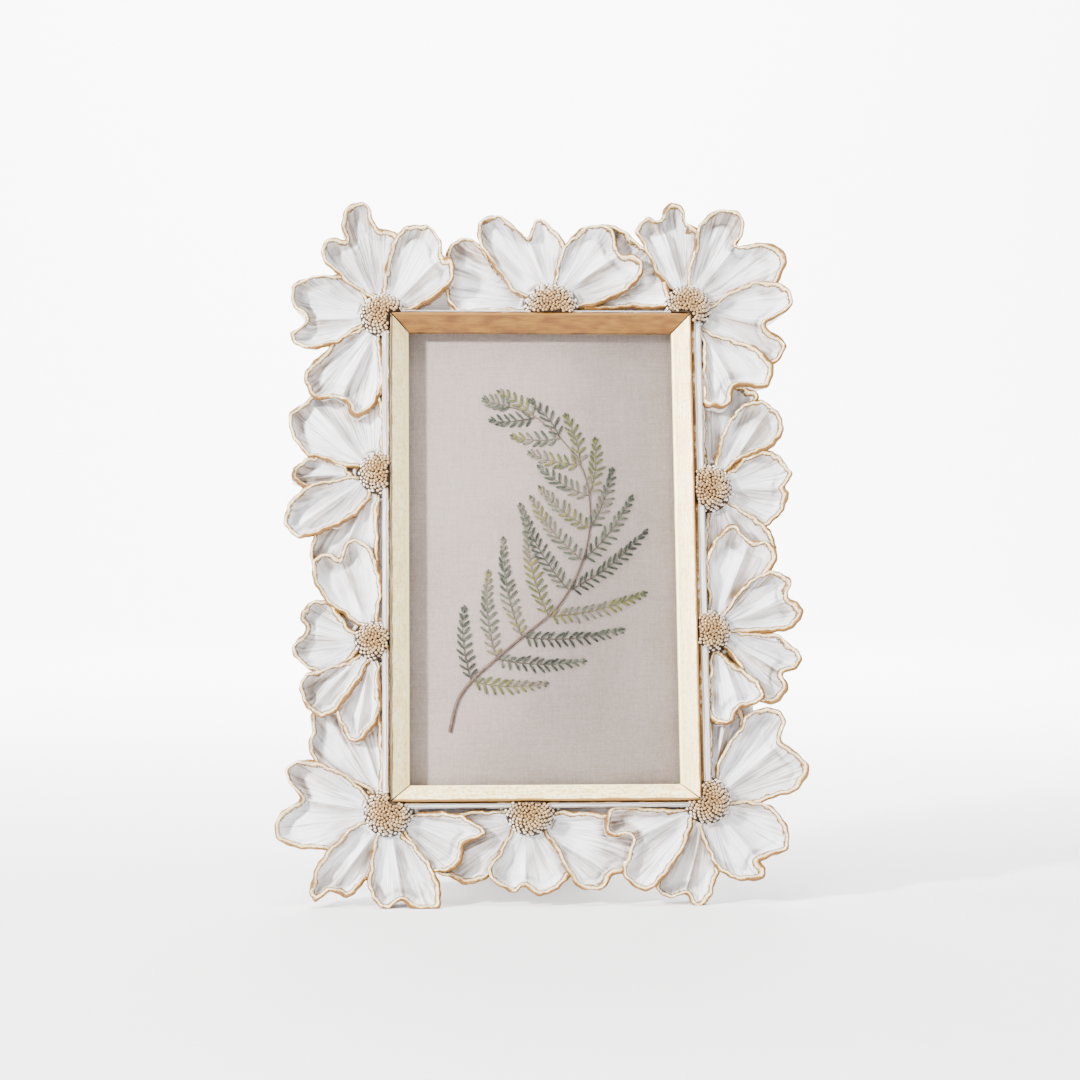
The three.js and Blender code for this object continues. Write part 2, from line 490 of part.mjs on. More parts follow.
function backBoard() {
  let solid = boxSolid([-PANE.x, -PANE.y, 0], [PANE.x, PANE.y, BOARD_TOP]);
  for (const side of [-1, 1]) {
    const hole = hingeRivetHole(side, -1, RIVET.depth + GAP);
    solid = solid.subtract(hole);
  }
  return toGeometry(solid);
}

// The fixed leaf of the hinge: a plate on the board with a knuckle at each side
function hingeLeaf() {
  const back = -GAP - HINGE.thick;
  const plateLow = [-HINGE.halfWide, HINGE.y + HINGE.knuckle, back];
  let solid = boxSolid(plateLow, [HINGE.halfWide, HINGE.y + HINGE.tall, -GAP]);
  const halfLength = (KNUCKLES.outer - KNUCKLES.inner) / 2;
  const [blockLow, blockHigh] = KNUCKLES.block;
  for (const side of [-1, 1]) {
    const middle = side * (KNUCKLES.inner + halfLength);
    solid = solid.add(barSolid(HINGE.knuckle, halfLength, middle, HINGE.y, HINGE.z, HINGE.sides));
    solid = solid.add(boxSolid([middle - halfLength, HINGE.y + blockLow, HINGE.z],
      [middle + halfLength, HINGE.y + blockHigh, -GAP]));
    solid = solid.subtract(hingeRivetHole(side, -5, 1));
  }
  return toGeometry(solid.subtract(barSolid(HINGE.bore, 20, 0, HINGE.y, HINGE.z, HINGE.sides)));
}

// The moving leaf: made about the pin, hanging down, with a short heel above the pin that stops the strut
function strutLeaf() {
  const { half, halfWide, heel, tail } = STRUT_LEAF;
  let solid = boxSolid([-halfWide, tail, -half], [halfWide, heel, half]);
  solid = solid.add(barSolid(HINGE.knuckle, halfWide, 0, 0, 0, HINGE.sides));
  solid = solid.subtract(barSolid(HINGE.bore, 20, 0, 0, 0, HINGE.sides));
  for (const [, y] of STRUT_RIVETS) solid = solid.subtract(discSolid(RIVET.hole, 0, y, -2, 2, PIN_SIDES));
  return toGeometry(solid);
}

// The strut: a tapering board with its foot cut level with the surface that the frame stands on
function strutBoard() {
  const top = -STRUT.top;
  const foot = -STRUT.length;
  const inner = -STRUT_LEAF.half - GAP;
  const outline = [[-STRUT.footHalf, foot], [STRUT.footHalf, foot], [STRUT.topHalf, top], [-STRUT.topHalf, top]];
  let solid = toSolid(plateGeometry(outline, inner - STRUT.thick, inner));
  for (const [, y] of STRUT_RIVETS) {
    solid = solid.subtract(discSolid(RIVET.hole, 0, y, inner - RIVET.depth - GAP, 1, PIN_SIDES));
  }
  return toGeometry(solid.subtract(underfoot(STAND_LINE - hingeHeight(), LEAN - STRUT.open)));
}

function hingeHeight() {
  return HINGE.y * Math.cos(radians(LEAN)) + HINGE.z * Math.sin(radians(LEAN));
}

// Fasteners: a headed pin, head towards -z
function headedPin(size, headBack) {
  const shankTop = headBack + size.headThick;
  return turned([[0, headBack], [size.head * 0.8, headBack], [size.head, shankTop], [size.shank, shankTop],
    [size.shank, size.depth], [0, size.depth]], PIN_SIDES);
}

function turnButton() {
  const back = -GAP - BUTTON.thick;
  const outline = [];
  for (const [middle, start] of [[BUTTON.reach - BUTTON.half, -90], [0, 90]]) {
    for (let turn = 0; turn <= 180; turn += 45) {
      const angle = radians(start + turn);
      outline.push([middle + BUTTON.half * Math.cos(angle), BUTTON.half * Math.sin(angle)]);
    }
  }
  const solid = toSolid(plateGeometry(outline, back, -GAP));
  return toGeometry(solid.subtract(discSolid(SCREW.hole, 0, 0, -5, 5, PIN_SIDES)));
}

// The scene graph
function piece(name, geometry, material) {
  geometry.computeVertexNormals();
  const mesh = new THREE.Mesh(geometry, MATERIALS[material].clone());
  mesh.name = name;
  return mesh;
}

const leaning = new THREE.Group();
leaning.rotation.x = radians(90 - LEAN);
leaning.add(piece("flower_border", flowerBorder(), "enamel"));
for (const side of ["left", "right", "top", "bottom"]) leaning.add(piece(`slip_${side}`, slipRail(side), "gilt"));
for (const [name, flower] of Object.entries(FLOWERS)) {
  leaning.add(piece(`stamens_${name}`, stamenDome(flower), "beads"));
}

function pane(low, high, shrink) {
  const geometry = new THREE.BoxGeometry(2 * (PANE.x - shrink), 2 * (PANE.y - shrink), high - low);
  geometry.translate(0, 0, (low + high) / 2);
  return geometry;
}

leaning.add(piece("glass_pane", pane(GLASS.bottom, GLASS.top, 0), "glass"));
leaning.add(piece("fern_sprig", fernSprig(), "fern"));
leaning.add(piece("linen_card", pane(CARD.bottom, CARD.top, 0.3), "linen"));
leaning.add(piece("back_board", backBoard(), "velvet"));

for (const [place, sideX, sideY] of buttonPlaces) {
  const button = piece(`turn_button_${place}`, turnButton(), "steel");
  button.position.set(sideX * BUTTON.x, sideY * BUTTON.y, 0);
  button.rotation.z = sideX < 0 ? 0 : Math.PI;
  leaning.add(button);
  const headBack = -2 * GAP - BUTTON.thick - SCREW.headThick;
  const screw = piece(`button_screw_${place}`, headedPin(SCREW, headBack), "steel");
  screw.position.copy(button.position);
  leaning.add(screw);
}

leaning.add(piece("hinge_leaf", hingeLeaf(), "steel"));
const pin = barSolid(HINGE.pin, HINGE.halfWide, 0, HINGE.y, HINGE.z, HINGE.sides);
leaning.add(piece("hinge_pin", toGeometry(pin), "steel"));
for (const [place, side] of [["left", -1], ["right", 1]]) {
  const rivet = piece(`hinge_rivet_${place}`, headedPin(RIVET, -2 * GAP - HINGE.thick - RIVET.headThick), "steel");
  rivet.position.set(side * HINGE_RIVETS.x, HINGE.y + HINGE_RIVETS.aboveHinge, 0);
  leaning.add(rivet);
}

const strut = new THREE.Group();
strut.position.set(0, HINGE.y, HINGE.z);
strut.rotation.x = radians(STRUT.open);
strut.add(piece("easel_strut", strutBoard(), "velvet"));
strut.add(piece("strut_leaf", strutLeaf(), "steel"));
for (const [place, y] of STRUT_RIVETS) {
  const rivet = piece(`strut_rivet_${place}`, headedPin(RIVET, -STRUT_LEAF.half - GAP - RIVET.headThick), "steel");
  rivet.rotation.x = Math.PI;
  rivet.position.set(0, y, 0);
  strut.add(rivet);
}
leaning.add(strut);

// The frame stands on z = 0 with the middle of its outline over the origin
const frame = new THREE.Group();
frame.add(leaning);
frame.updateMatrixWorld(true);
const outline = new THREE.Box3().setFromObject(frame, true);
leaning.position.set(-(outline.min.x + outline.max.x) / 2, -(outline.min.y + outline.max.y) / 2, -STAND_LINE);
frame.name = "flower_frame";

export default frame;
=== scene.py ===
import math
import random

import bmesh
import bpy
import numpy as np
from mathutils import Matrix, Vector


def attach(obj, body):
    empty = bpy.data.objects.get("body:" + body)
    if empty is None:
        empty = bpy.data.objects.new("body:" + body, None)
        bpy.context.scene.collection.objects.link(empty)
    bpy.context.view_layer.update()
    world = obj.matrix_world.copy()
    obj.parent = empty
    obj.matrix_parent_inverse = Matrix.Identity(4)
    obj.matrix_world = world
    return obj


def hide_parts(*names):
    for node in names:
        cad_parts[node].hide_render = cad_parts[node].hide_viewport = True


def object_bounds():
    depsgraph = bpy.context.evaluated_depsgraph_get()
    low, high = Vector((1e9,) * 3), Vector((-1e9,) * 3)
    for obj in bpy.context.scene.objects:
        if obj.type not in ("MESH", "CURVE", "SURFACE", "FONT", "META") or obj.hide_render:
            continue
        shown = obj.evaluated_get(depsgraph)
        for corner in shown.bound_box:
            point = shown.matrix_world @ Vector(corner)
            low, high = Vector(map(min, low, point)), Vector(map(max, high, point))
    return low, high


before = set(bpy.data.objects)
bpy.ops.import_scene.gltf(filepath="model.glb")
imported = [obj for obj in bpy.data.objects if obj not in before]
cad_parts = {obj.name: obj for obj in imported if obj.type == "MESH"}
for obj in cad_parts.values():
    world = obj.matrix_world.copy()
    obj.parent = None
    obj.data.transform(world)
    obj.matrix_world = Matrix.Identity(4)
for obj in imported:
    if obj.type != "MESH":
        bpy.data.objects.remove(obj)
cad_low, cad_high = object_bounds()
draw = np.random.default_rng(7)

# Driving dimensions, in millimetres, as in the solids
LEAN = 12
GAP = 0.3
PLANE_ORIGIN = Vector((0.75, -10.229128, 105.9))
RIDGE = (48.25, 78.15)
SIGHT = (42.3, 72.75)
PANE = (46.3, 76.7)
BOARD_TOP = 2.2
CARD = (2.5, 3.3)
FERN_LEVEL = 3.72
GLASS = (4.3, 6.3)
SLIP = {"bottom": 6.6, "sight": 9.0, "ridge": 13.5}
COLLAR = {"left": 2.2, "right": 3.0, "top": 0.8, "bottom": 1.6, "height": 12.3}
GROUND_RING = {"x": 66, "y": 93, "corner": 12, "height": 6.3}
RIM = {"centre": 9.6, "tip": 11.4, "step": 0.8}
RELIEF = {"trough_width": (2.0, 6.0), "trough_depth": (0.9, 1.9), "dish_share": 0.42, "dish_depth": 3.4,
          "crease_width": 1.3, "crease_depth": 1.3, "notch_width": 3.0, "notch_depth": 0.8, "lip": 0.9,
          "rounding": 0.55}
WALL_DRAFT = 3.5
TUCKED = 6.0
# The way that the shaded sides of the troughs face, away from right and below
SHELTERED = np.array([-0.8, 0.6])
RIM_GILT = 1.45
UNGILDED = {"rim_distance": 9.0, "wall_drop": 0.0}
STAMEN = {"base": 8.6, "edge": 10.8, "shoulder": 13.8, "crown": 15.0}
BEAD = {"radius": 0.6, "pitch": 0.62}
BUTTON = {"x": 54, "y": 45, "reach": 13, "half": 3, "thick": 1}
SCREW = {"head": 2.5, "head_thick": 1.2}
HINGE = {"y": 30, "z": -3.3, "bore": 1.0, "knuckle": 2.1, "thick": 0.8, "tall": 14}
STRUT = {"open": 30, "top": 4, "length": 158, "thick": 3, "top_half": 15, "foot_half": 25}
STRUT_LEAF = {"half": 4.7, "length": 15, "cut": 1.5, "half_thick": 0.4}
RIVET = {"head": 1.9, "head_thick": 0.8, "shank": 0.9, "shank_top": 1.4}
RAILS = ("left", "right", "top", "bottom")
CORNERS = (("upper_left", -1, 1), ("upper_right", 1, 1), ("lower_left", -1, -1), ("lower_right", 1, -1))
VIEW = {"lens": 92.62, "azimuth": -3.13, "elevation": 1.0, "distance": 874, "shift": (-1.18, 0, 3.9)}

# Each flower: the place of its centre, its stamen disc (x, y, radius), and its petals as (rank, outline).
# A petal of higher rank lies over its neighbours. Outlines run round the petal, from the flower's centre.
FLOWERS = {
    "top_left": ((-50.5, 78), (0, 0, 7.5), [
        (4, [(-1, 5), (-5, 6), (-15, 13), (-19, 17), (-20, 20), (-19, 23), (-16, 25), (-11.7, 24.5),
             (-13.5, 28), (-13, 32), (-11, 35.5), (-7.5, 36.7), (-4.5, 35.5), (-1.5, 28.5), (4, 27),
             (6, 22), (4, 14), (2, 7)]),
        (5, [(0, 5), (0, 12), (3, 23), (5, 26.5), (8, 28.5), (11, 29), (15, 28.5), (17.5, 26), (19, 22.5),
             (19.3, 19.5), (22, 18), (23, 15.5), (23, 12), (21.5, 9), (19, 6.5), (8.5, 1), (3, 1)]),
        (3, [(-3, 3), (-6, 8), (-11, 12.5), (-20, 12.5), (-25, 11.5), (-28.5, 9.5), (-29.5, 6), (-28.5, 2),
             (-24.7, -1.5), (-26, -4.5), (-29.5, -6.5), (-29, -9), (-26, -11.5), (-22, -12), (-16, -10.5),
             (-7, -4.5), (-3, -2)]),
        (2, [(-3, -3), (-9, -5), (-16, -9), (-19, -13), (-23, -16.5), (-25, -20), (-24.5, -24),
             (-22.5, -27.5), (-19, -28.5), (-15, -27.5), (-12.3, -28.5), (-10.5, -33), (-8, -33.8),
             (-4.5, -32.5), (-2, -29.5), (0, -25), (0.7, -20), (0, -13), (-1, -6)]),
    ]),
    "top_middle": ((4, 83.5), (-0.5, -3.5, 9), [
        (1, [(-5, -1), (-9.5, 0.5), (-13, 3), (-20.5, 12.5), (-23.5, 18), (-24.5, 22), (-23, 26),
             (-19.5, 28), (-16.5, 27.5), (-12, 24.5), (-8, 20.8), (-6, 25.5), (-3.5, 26.5), (-0.5, 24.5),
             (5, 17), (3, 5), (0, 0)]),
        (2, [(0, 1), (1, 10), (3, 15.5), (5.5, 20), (9, 23), (13, 24.5), (17, 24.5), (20, 22.5), (22, 15),
             (25, 15), (28, 13.5), (29.7, 11), (28.5, 7), (25.5, 3.5), (21.5, 1), (11, -3), (4, -3)]),
        (0, [(-4, -4), (-15, -4.3), (-31, -4.5), (-33.5, -1), (-35, 6), (-35, 12), (-32.5, 18.5),
             (-29, 20.3), (-25, 19.5), (-16, 9), (-8, 3)]),
        (0, [(6, 0), (15, 12), (14, 21), (17, 25), (21.5, 24.5), (27.5, 19.5), (34, 14), (38, 4),
             (37, -2.5), (25, -3), (12, -3.5)]),
    ]),
    "top_right": ((48, 81.5), (-0.5, -0.75, 7.8), [
        (1, [(-3, 4), (-9, 8.5), (-15, 20.5), (-17, 24), (-16, 27), (-13, 29.5), (-9.3, 28.6), (-8, 31.5),
             (-6, 34), (-3.5, 34.3), (-1, 32), (0, 28), (4, 25), (3.5, 16), (2, 6)]),
        (2, [(0, 3), (-0.5, 8), (2, 21), (3, 26), (9, 31.5), (13, 32), (16.5, 31), (18.5, 28), (18.5, 24.5),
             (16, 19.9), (20, 20.6), (29, 20), (31.5, 17), (32, 14), (30.5, 10), (27, 5), (18, 3), (8, 0),
             (3, 0)]),
        (3, [(3, -1), (8.5, 1.5), (14, 5.5), (24, 7.8), (29, 7), (32.5, 5), (33.5, 2), (32.5, -1.5),
             (29.5, -4), (24.6, -6.8), (30, -12), (31, -14.5), (27, -20), (23, -20), (14, -15), (6, -10),
             (2, -4)]),
        (4, [(2, -4), (6, -8), (15, -12), (20, -14), (24, -17), (26.5, -21), (26, -25.5), (24, -28),
             (20, -28.3), (16.5, -27.3), (13.8, -28), (13, -32), (10.5, -34.5), (7, -34.5), (3.6, -33),
             (3, -28), (3.5, -20), (4, -13)]),
    ]),
    "left_upper": ((-53.5, 26.5), (2.2, -0.2, 7.3), [
        (1, [(-1, 1), (-8, 1.5), (-18, 4.5), (-21, 5), (-24, 8.5), (-26, 12), (-27, 15.5), (-26.5, 19),
             (-21, 23.5), (-17, 27), (-8, 29), (-1, 28), (3, 22), (4, 13), (3, 4)]),
        (0, [(-6, -1), (-17, 6), (-23.5, 3), (-26, 0), (-25.5, -2.5), (-23.5, -4.5), (-18, -6), (-12, -4)]),
        (2, [(-2, -1), (-14, -2.5), (-20, -4), (-26.5, -10), (-28, -14), (-28, -17), (-26, -20),
             (-22.5, -21.7), (-15, -19.5), (-6, -14.5), (-3, -11.5), (0, -6)]),
        (0, [(-1, -5), (-12, -12), (-18, -18), (-19.5, -22), (-19.5, -30), (-14, -34), (-5, -34), (1, -33),
             (2, -27), (1.8, -15), (2, -6)]),
    ]),
    "left_lower": ((-54, -27.5), (0.7, 0.1, 6.4), [
        (1, [(-1, 2), (-7, 7), (-11, 9.5), (-15, 13), (-17.5, 17), (-19, 21), (-18.5, 25), (-16.5, 27.5),
             (-13.5, 28), (-10.2, 26.5), (-9.5, 29.5), (-7, 32), (-4.5, 32.3), (-1.5, 30.5), (1, 27),
             (3.3, 19), (2.5, 9), (2, 3)]),
        (0, [(-2, 1), (-7, 5), (-13, 13), (-16, 13.3), (-19, 12.5), (-21.5, 10.5), (-22.5, 7.5), (-21, 3.5),
             (-25, -1.5), (-24.5, -4.5), (-19.5, -9), (-15, -11), (-8, -8), (-3, -2)]),
        (3, [(-1, -2), (-5, -4.5), (-13, -8), (-21, -11), (-22.5, -14.5), (-22, -18), (-20.5, -21),
             (-18, -23.5), (-15, -24.3), (-12, -23.5), (-6, -16.5), (-1.5, -9), (0, -4)]),
        (2, [(-1, -4), (-6, -13), (-12, -19), (-10, -26), (-8.5, -29.5), (-6, -32), (-3.5, -31.8),
             (-0.5, -29), (2, -25.5), (3, -21), (3, -15), (2, -6)]),
    ]),
    "bottom_left": ((-48.5, -81.5), (-0.5, 0.3, 7.8), [
        (0, [(-3, 3), (-8, 8), (-15, 11), (-22, 14), (-25, 20), (-25.3, 23), (-24, 26), (-24.6, 31),
             (-20, 35), (-12, 33), (-4, 33), (-2, 27), (-1.5, 20), (-1.3, 9)]),
        (1, [(-3, 1), (-12, 11), (-23, 16.5), (-27, 17), (-30.5, 15.5), (-32.5, 13), (-31.5, 10), (-28, 5),
             (-33.5, 0.5), (-35.5, -3), (-35, -7), (-32.5, -9.5), (-22, -11.3), (-16, -11), (-10, -5),
             (-4, -2)]),
        (2, [(-3, -2), (-10, -3), (-18, -10), (-22, -15), (-24, -20), (-24.5, -25), (-23, -27.3),
             (-18.5, -24.3), (-13, -26), (-11, -25.3), (-7.5, -21), (-4, -20), (-2, -12), (-1, -5)]),
        (3, [(-2, -4), (-5, -8), (-6.5, -17), (-7, -21), (-6, -25), (-4, -28), (-1, -29.7), (3.3, -27),
             (5.5, -29), (8, -30), (12, -30.2), (15, -29.5), (16, -26), (15.5, -22), (13.5, -17), (7, -8.5),
             (2, -4)]),
        (2, [(3, -2), (7, 0), (13, 0.8), (20, 0), (25, -2), (30, -6.5), (23.7, -10), (22, -16), (19, -18),
             (15, -18.5), (11, -18), (8, -12), (4, -6)]),
    ]),
    "bottom_middle": ((-6, -84), (1, 3, 8), [
        (2, [(-3, 0), (-8, -8), (-12.5, -15), (-12, -17.5), (-7, -21.5), (-4, -22.3), (-1.5, -20.8),
             (3.5, -23.5), (7, -22.7), (13, -18), (15, -15), (11, -8), (6, 0)]),
        (3, [(3, 1), (9, -10), (13, -18), (15, -20.5), (17.5, -21.7), (23, -21.5), (27, -17.3), (33, -16),
             (36, -8), (34, 1), (24, 2), (14, 3), (7, 3)]),
        (0, [(-2, 2), (-12, 3.5), (-20, 3), (-27, 0), (-31, -8), (-29, -15), (-23, -18), (-20, -19.5),
             (-17, -19.7), (-9, -15), (-6, -8), (-1, -2)]),
    ]),
    "bottom_right": ((51, -78.5), (-0.8, 0.5, 7.6), [
        (0, [(0, 5), (-0.3, 12), (0, 20), (0, 28), (4, 32), (10, 30), (12, 24), (9, 16), (5, 7)]),
        (1, [(2, 3), (2, 10), (4, 15), (10, 23.5), (12, 27), (16, 29.2), (23, 28.5), (24.5, 25),
             (23.3, 19.5), (28, 15), (31, 12), (31.5, 9.5), (30, 6), (27, 3), (18, 0.3), (12, -2),
             (5, -2)]),
        (2, [(3, 0), (12, 0.5), (17, -0.5), (20, -2), (22.5, -5), (24.3, -9), (24.5, -13), (23.5, -15.5),
             (15.3, -19), (17, -20.5), (17, -22.5), (15.5, -24.3), (12, -25), (8, -24.5), (2, -21.5),
             (-2, -13), (-3.5, -8), (-1, -3)]),
        (0, [(-3, -4), (-7, -7), (-11, -14), (-16, -21), (-17.5, -26), (-15.5, -28.7), (-13, -30),
             (-8.5, -28.6), (-6, -32), (-3, -32.5), (-0.5, -30), (0.8, -27), (3, -19), (1, -12), (-1, -5)]),
        (4, [(-3, -2), (-5, -6), (-6, -10), (-8.5, -15), (-15.5, -24.5), (-18, -27), (-21, -27.7),
             (-24.5, -26.5), (-27, -24), (-28, -20), (-26, -16), (-24.5, -11), (-31.5, -10.8), (-33.5, -8),
             (-33, -5), (-31, -2), (-28, -0.9), (-15, -2)]),
    ]),
    "right_upper": ((55, 21.5), (-2.5, -0.2, 8.2), [
        (0, [(-2, 4), (-4, 12), (-4, 22), (-4, 30), (6, 34), (13, 32), (15, 30), (8, 18), (3, 6)]),
        (1, [(0, 5), (1.5, 15), (7, 25), (10, 27.5), (14, 28.7), (17, 28), (20.5, 25), (22.5, 21), (22, 17),
             (20, 14), (17, 12), (7, 8), (3, 4)]),
        (0, [(2, 2), (8, 9), (14, 12), (19, 12), (24, 6.5), (25, 4.5), (23, 0), (23.8, -2), (21.5, -8),
             (15, -13), (8, -9), (2, -4)]),
        (1, [(0, -3), (10, -7.5), (14, -10.3), (17, -13.5), (18.7, -17), (19, -20), (16, -24), (8, -26),
             (0, -26), (-3.5, -24), (-3.8, -15), (-2, -6)]),
    ]),
    "right_lower": ((54, -24), (-2, -0.7, 7.1), [
        (2, [(-1, 3), (-2.3, 12), (-3, 19), (-2.5, 23), (1, 29.5), (4, 32.7), (7.5, 33.3), (10, 29.7),
             (12, 28.3), (15, 28.3), (18, 27), (20, 25), (20.5, 23), (15, 14), (8, 8), (2, 3)]),
        (3, [(1, 2), (5, 9), (8, 13), (12, 16), (17, 18), (20, 18), (23, 16.5), (24.5, 14.5), (23.3, 9.7),
             (26, 8.5), (27.8, 6), (27.3, 3), (25.5, 0.5), (22, -1.2), (16, -1.6), (8, -1.4), (2, -1)]),
        (3, [(2, 0), (13, -1.4), (18, -1.3), (21, -3), (27, -9), (27, -11), (24.5, -13.5), (21.3, -14.7),
             (22.5, -19.5), (18.5, -24), (14, -24), (10, -17), (5, -9), (1, -4)]),
        (4, [(-1, -4), (4, -9), (12, -16), (14.5, -19.5), (15, -21.5), (13.5, -23.5), (11, -25), (7, -25.7),
             (4.5, -30), (2, -31), (-0.5, -30.3), (-3, -28), (-3.5, -24), (-2.3, -12), (-2, -6)]),
    ]),
}

# The fern: its stalk, and how its opposite leaflets stand along it. Angles to the stalk and lengths are
# read evenly along the frond, from the lowest pair to the highest, as in the solid.
STALK = [(-29.7, -55.6), (-27, -45.3), (-22.8, -39.5), (-8.8, -27.1), (6.3, -13.7), (15.1, 7.9), (13, 29.6),
         (-1.8, 46.1), (-13, 50.4)]
FROND = {"pairs": 11, "first": 0.131, "last": 0.912, "left": (48, 61, 59, 56, 50, 38),
         "right": (48, 34, 21, 14, 10, 2), "lengths": (23, 31.5, 31, 20, 16, 13.5), "curl": 24,
         "end_leaflet": 8.5}
PINNULE = {"pitch": 2.2, "reach": 3.3, "width": 0.85}

PLANE = Matrix.Translation(PLANE_ORIGIN) @ Matrix.Rotation(math.radians(90 - LEAN), 4, "X")
OPENED = Matrix.Rotation(math.radians(STRUT["open"]), 4, "X")
HUNG = PLANE @ Matrix.Translation((0, HINGE["y"], HINGE["z"])) @ OPENED


# Numbers
def lerp(a, b, t):
    return a + (b - a) * t


def smoothstep(value, low, high):
    t = np.clip((value - low) / (high - low), 0, 1)
    return t * t * (3 - 2 * t)


def spline(points, count, closed):
    """Evenly spaced points on a centripetal Catmull-Rom curve."""
    knots = np.array(points, float)
    total = len(knots)
    spans = total if closed else total - 1
    dense = []
    for i in range(spans):
        if closed:
            p = [knots[(i + k) % total] for k in (-1, 0, 1, 2)]
        else:
            before = knots[i - 1] if i > 0 else 2 * knots[0] - knots[1]
            after = knots[i + 2] if i + 2 < total else 2 * knots[-1] - knots[-2]
            p = [before, knots[i], knots[i + 1], after]
        t = [0.0]
        for a, b in zip(p, p[1:]):
            t.append(t[-1] + max(np.linalg.norm(b - a), 1e-6) ** 0.5)
        for s in np.linspace(t[1], t[2], 12, endpoint=False):
            a = [lerp(p[k], p[k + 1], (s - t[k]) / (t[k + 1] - t[k])) for k in range(3)]
            b = [lerp(a[k], a[k + 1], (s - t[k]) / (t[k + 2] - t[k])) for k in range(2)]
            dense.append(lerp(b[0], b[1], (s - t[1]) / (t[2] - t[1])))
    dense.append(knots[0] if closed else knots[-1])
    dense = np.array(dense)
    walked = np.concatenate([[0], np.cumsum(np.linalg.norm(np.diff(dense, axis=0), axis=1))])
    wanted = np.linspace(0, walked[-1], count, endpoint=not closed)
    return np.stack([np.interp(wanted, walked, dense[:, k]) for k in range(dense.shape[1])], axis=1)


def edge_distance(points, loop):
    """Distance of each point to a closed loop, and whether it lies inside it."""
    a = loop[None, :, :]
    b = np.roll(loop, -1, axis=0)[None, :, :]
    p = points[:, None, :]
    ab = b - a
    t = np.clip(((p - a) * ab).sum(2) / np.maximum((ab * ab).sum(2), 1e-9), 0, 1)
    gap = np.linalg.norm(p - a - t[..., None] * ab, axis=2).min(1)
    above_a = a[..., 1] > p[..., 1]
    above_b = b[..., 1] > p[..., 1]
    rise = np.where(np.abs(ab[..., 1]) < 1e-9, 1e-9, ab[..., 1])
    cross_x = a[..., 0] + (p[..., 1] - a[..., 1]) * ab[..., 0] / rise
    hits = ((above_a != above_b) & (p[..., 0] < cross_x)).sum(1)
    return gap, hits % 2 == 1


def wave(x, seed):
    """A smooth pseudo-random wave of one value, from -1 to 1."""
    phase = seed * 2.399
    return 0.5 * np.sin(x + phase) + 0.3 * np.sin(2.3 * x + 1.7 * phase) + 0.2 * np.sin(4.1 * x + 2.9 * phase)


def read_evenly(values, t):
    """A value read between evenly spaced ones, t running from 0 to 1."""
    return float(np.interp(t, np.linspace(0, 1, len(values)), values))


# Meshes
def make_piece(name, points, faces, matrix, body, stands_for, material, marks=None, sharp=None):
    """A mesh from millimetre points, placed by matrix, as one piece of the object."""
    mesh = bpy.data.meshes.new(name)
    placed = np.array(points, float) @ np.array(matrix.to_3x3()).T + np.array(matrix.translation)
    placed = placed * 0.001
    placed = np.clip(placed, np.array(cad_low) + 1e-6, np.array(cad_high) - 1e-6)
    mesh.from_pydata(placed.tolist(), [], [tuple(int(i) for i in face) for face in faces])
    mesh.validate()
    for key, values in (marks or {}).items():
        attribute = mesh.attributes.new(key, "FLOAT", "POINT")
        attribute.data.foreach_set("value", np.asarray(values, np.float32))
    mesh.shade_smooth()
    if sharp is not None:
        mesh.set_sharp_from_angle(angle=math.radians(sharp))
    mesh.materials.append(material)
    piece = bpy.data.objects.new(name, mesh)
    bpy.context.scene.collection.objects.link(piece)
    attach(piece, body)
    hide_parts(*stands_for)
    return piece


def grid_faces(rows, columns, wrap=True, flip=False):
    """Faces of a grid of points stored row by row; columns close up when wrap is set."""
    faces = []
    for row in range(rows - 1):
        for column in range(columns if wrap else columns - 1):
            after = (column + 1) % columns
            face = (row * columns + column, row * columns + after, (row + 1) * columns + after,
                    (row + 1) * columns + column)
            faces.append(face[::-1] if flip else face)
    return faces


def ring_faces(rows, columns):
    """Faces of a grid whose columns close up and whose last row joins its first."""
    faces = grid_faces(rows, columns)
    last = (rows - 1) * columns
    for i in range(columns):
        j = (i + 1) % columns
        faces.append((last + i, last + j, j, i))
    return faces


class Builder:
    """Collects points, faces and per-point marks of one piece."""

    def __init__(self, *marks):
        self.points = []
        self.faces = []
        self.marks = {mark: [] for mark in marks}
        self.count = 0

    def add(self, points, faces, **marks):
        points = np.asarray(points, float)
        self.points.append(points)
        self.faces.extend(tuple(i + self.count for i in face) for face in faces)
        for key in self.marks:
            value = marks.get(key, 0.0)
            self.marks[key].append(np.broadcast_to(np.asarray(value, float), (len(points),)))
        self.count += len(points)

    def finish(self, name, matrix, body, stands_for, finish, material, sharp=None):
        marks = {key: np.concatenate(values) for key, values in self.marks.items()}
        return make_piece(name, np.concatenate(self.points), self.faces, matrix, body, stands_for,
                          material, marks, sharp)


def bevelled(build, width, segments=3):
    """Points and faces of a solid that build(bm) makes, with its edges rounded."""
    bm = bmesh.new()
    build(bm)
    bmesh.ops.remove_doubles(bm, verts=bm.verts, dist=1e-5)
    edges = [e for e in bm.edges if len(e.link_faces) == 2 and e.calc_face_angle() > math.radians(35)]
    bmesh.ops.bevel(bm, geom=edges, offset=width, segments=segments, profile=0.6, affect="EDGES",
                    clamp_overlap=True)
    bmesh.ops.recalc_face_normals(bm, faces=bm.faces)
    bm.verts.ensure_lookup_table()
    points = [tuple(v.co) for v in bm.verts]
    faces = [tuple(v.index for v in f.verts) for f in bm.faces]
    bm.free()
    return points, faces


def prism(outline, low, high):
    """A builder of an upright prism over an outline."""
    def build(bm):
        floor = [bm.verts.new((x, y, low)) for x, y in outline]
        roof = [bm.verts.new((x, y, high)) for x, y in outline]
        bm.faces.new(floor[::-1])
        bm.faces.new(roof)
        for i in range(len(outline)):
            j = (i + 1) % len(outline)
            bm.faces.new((floor[i], floor[j], roof[j], roof[i]))
    return build


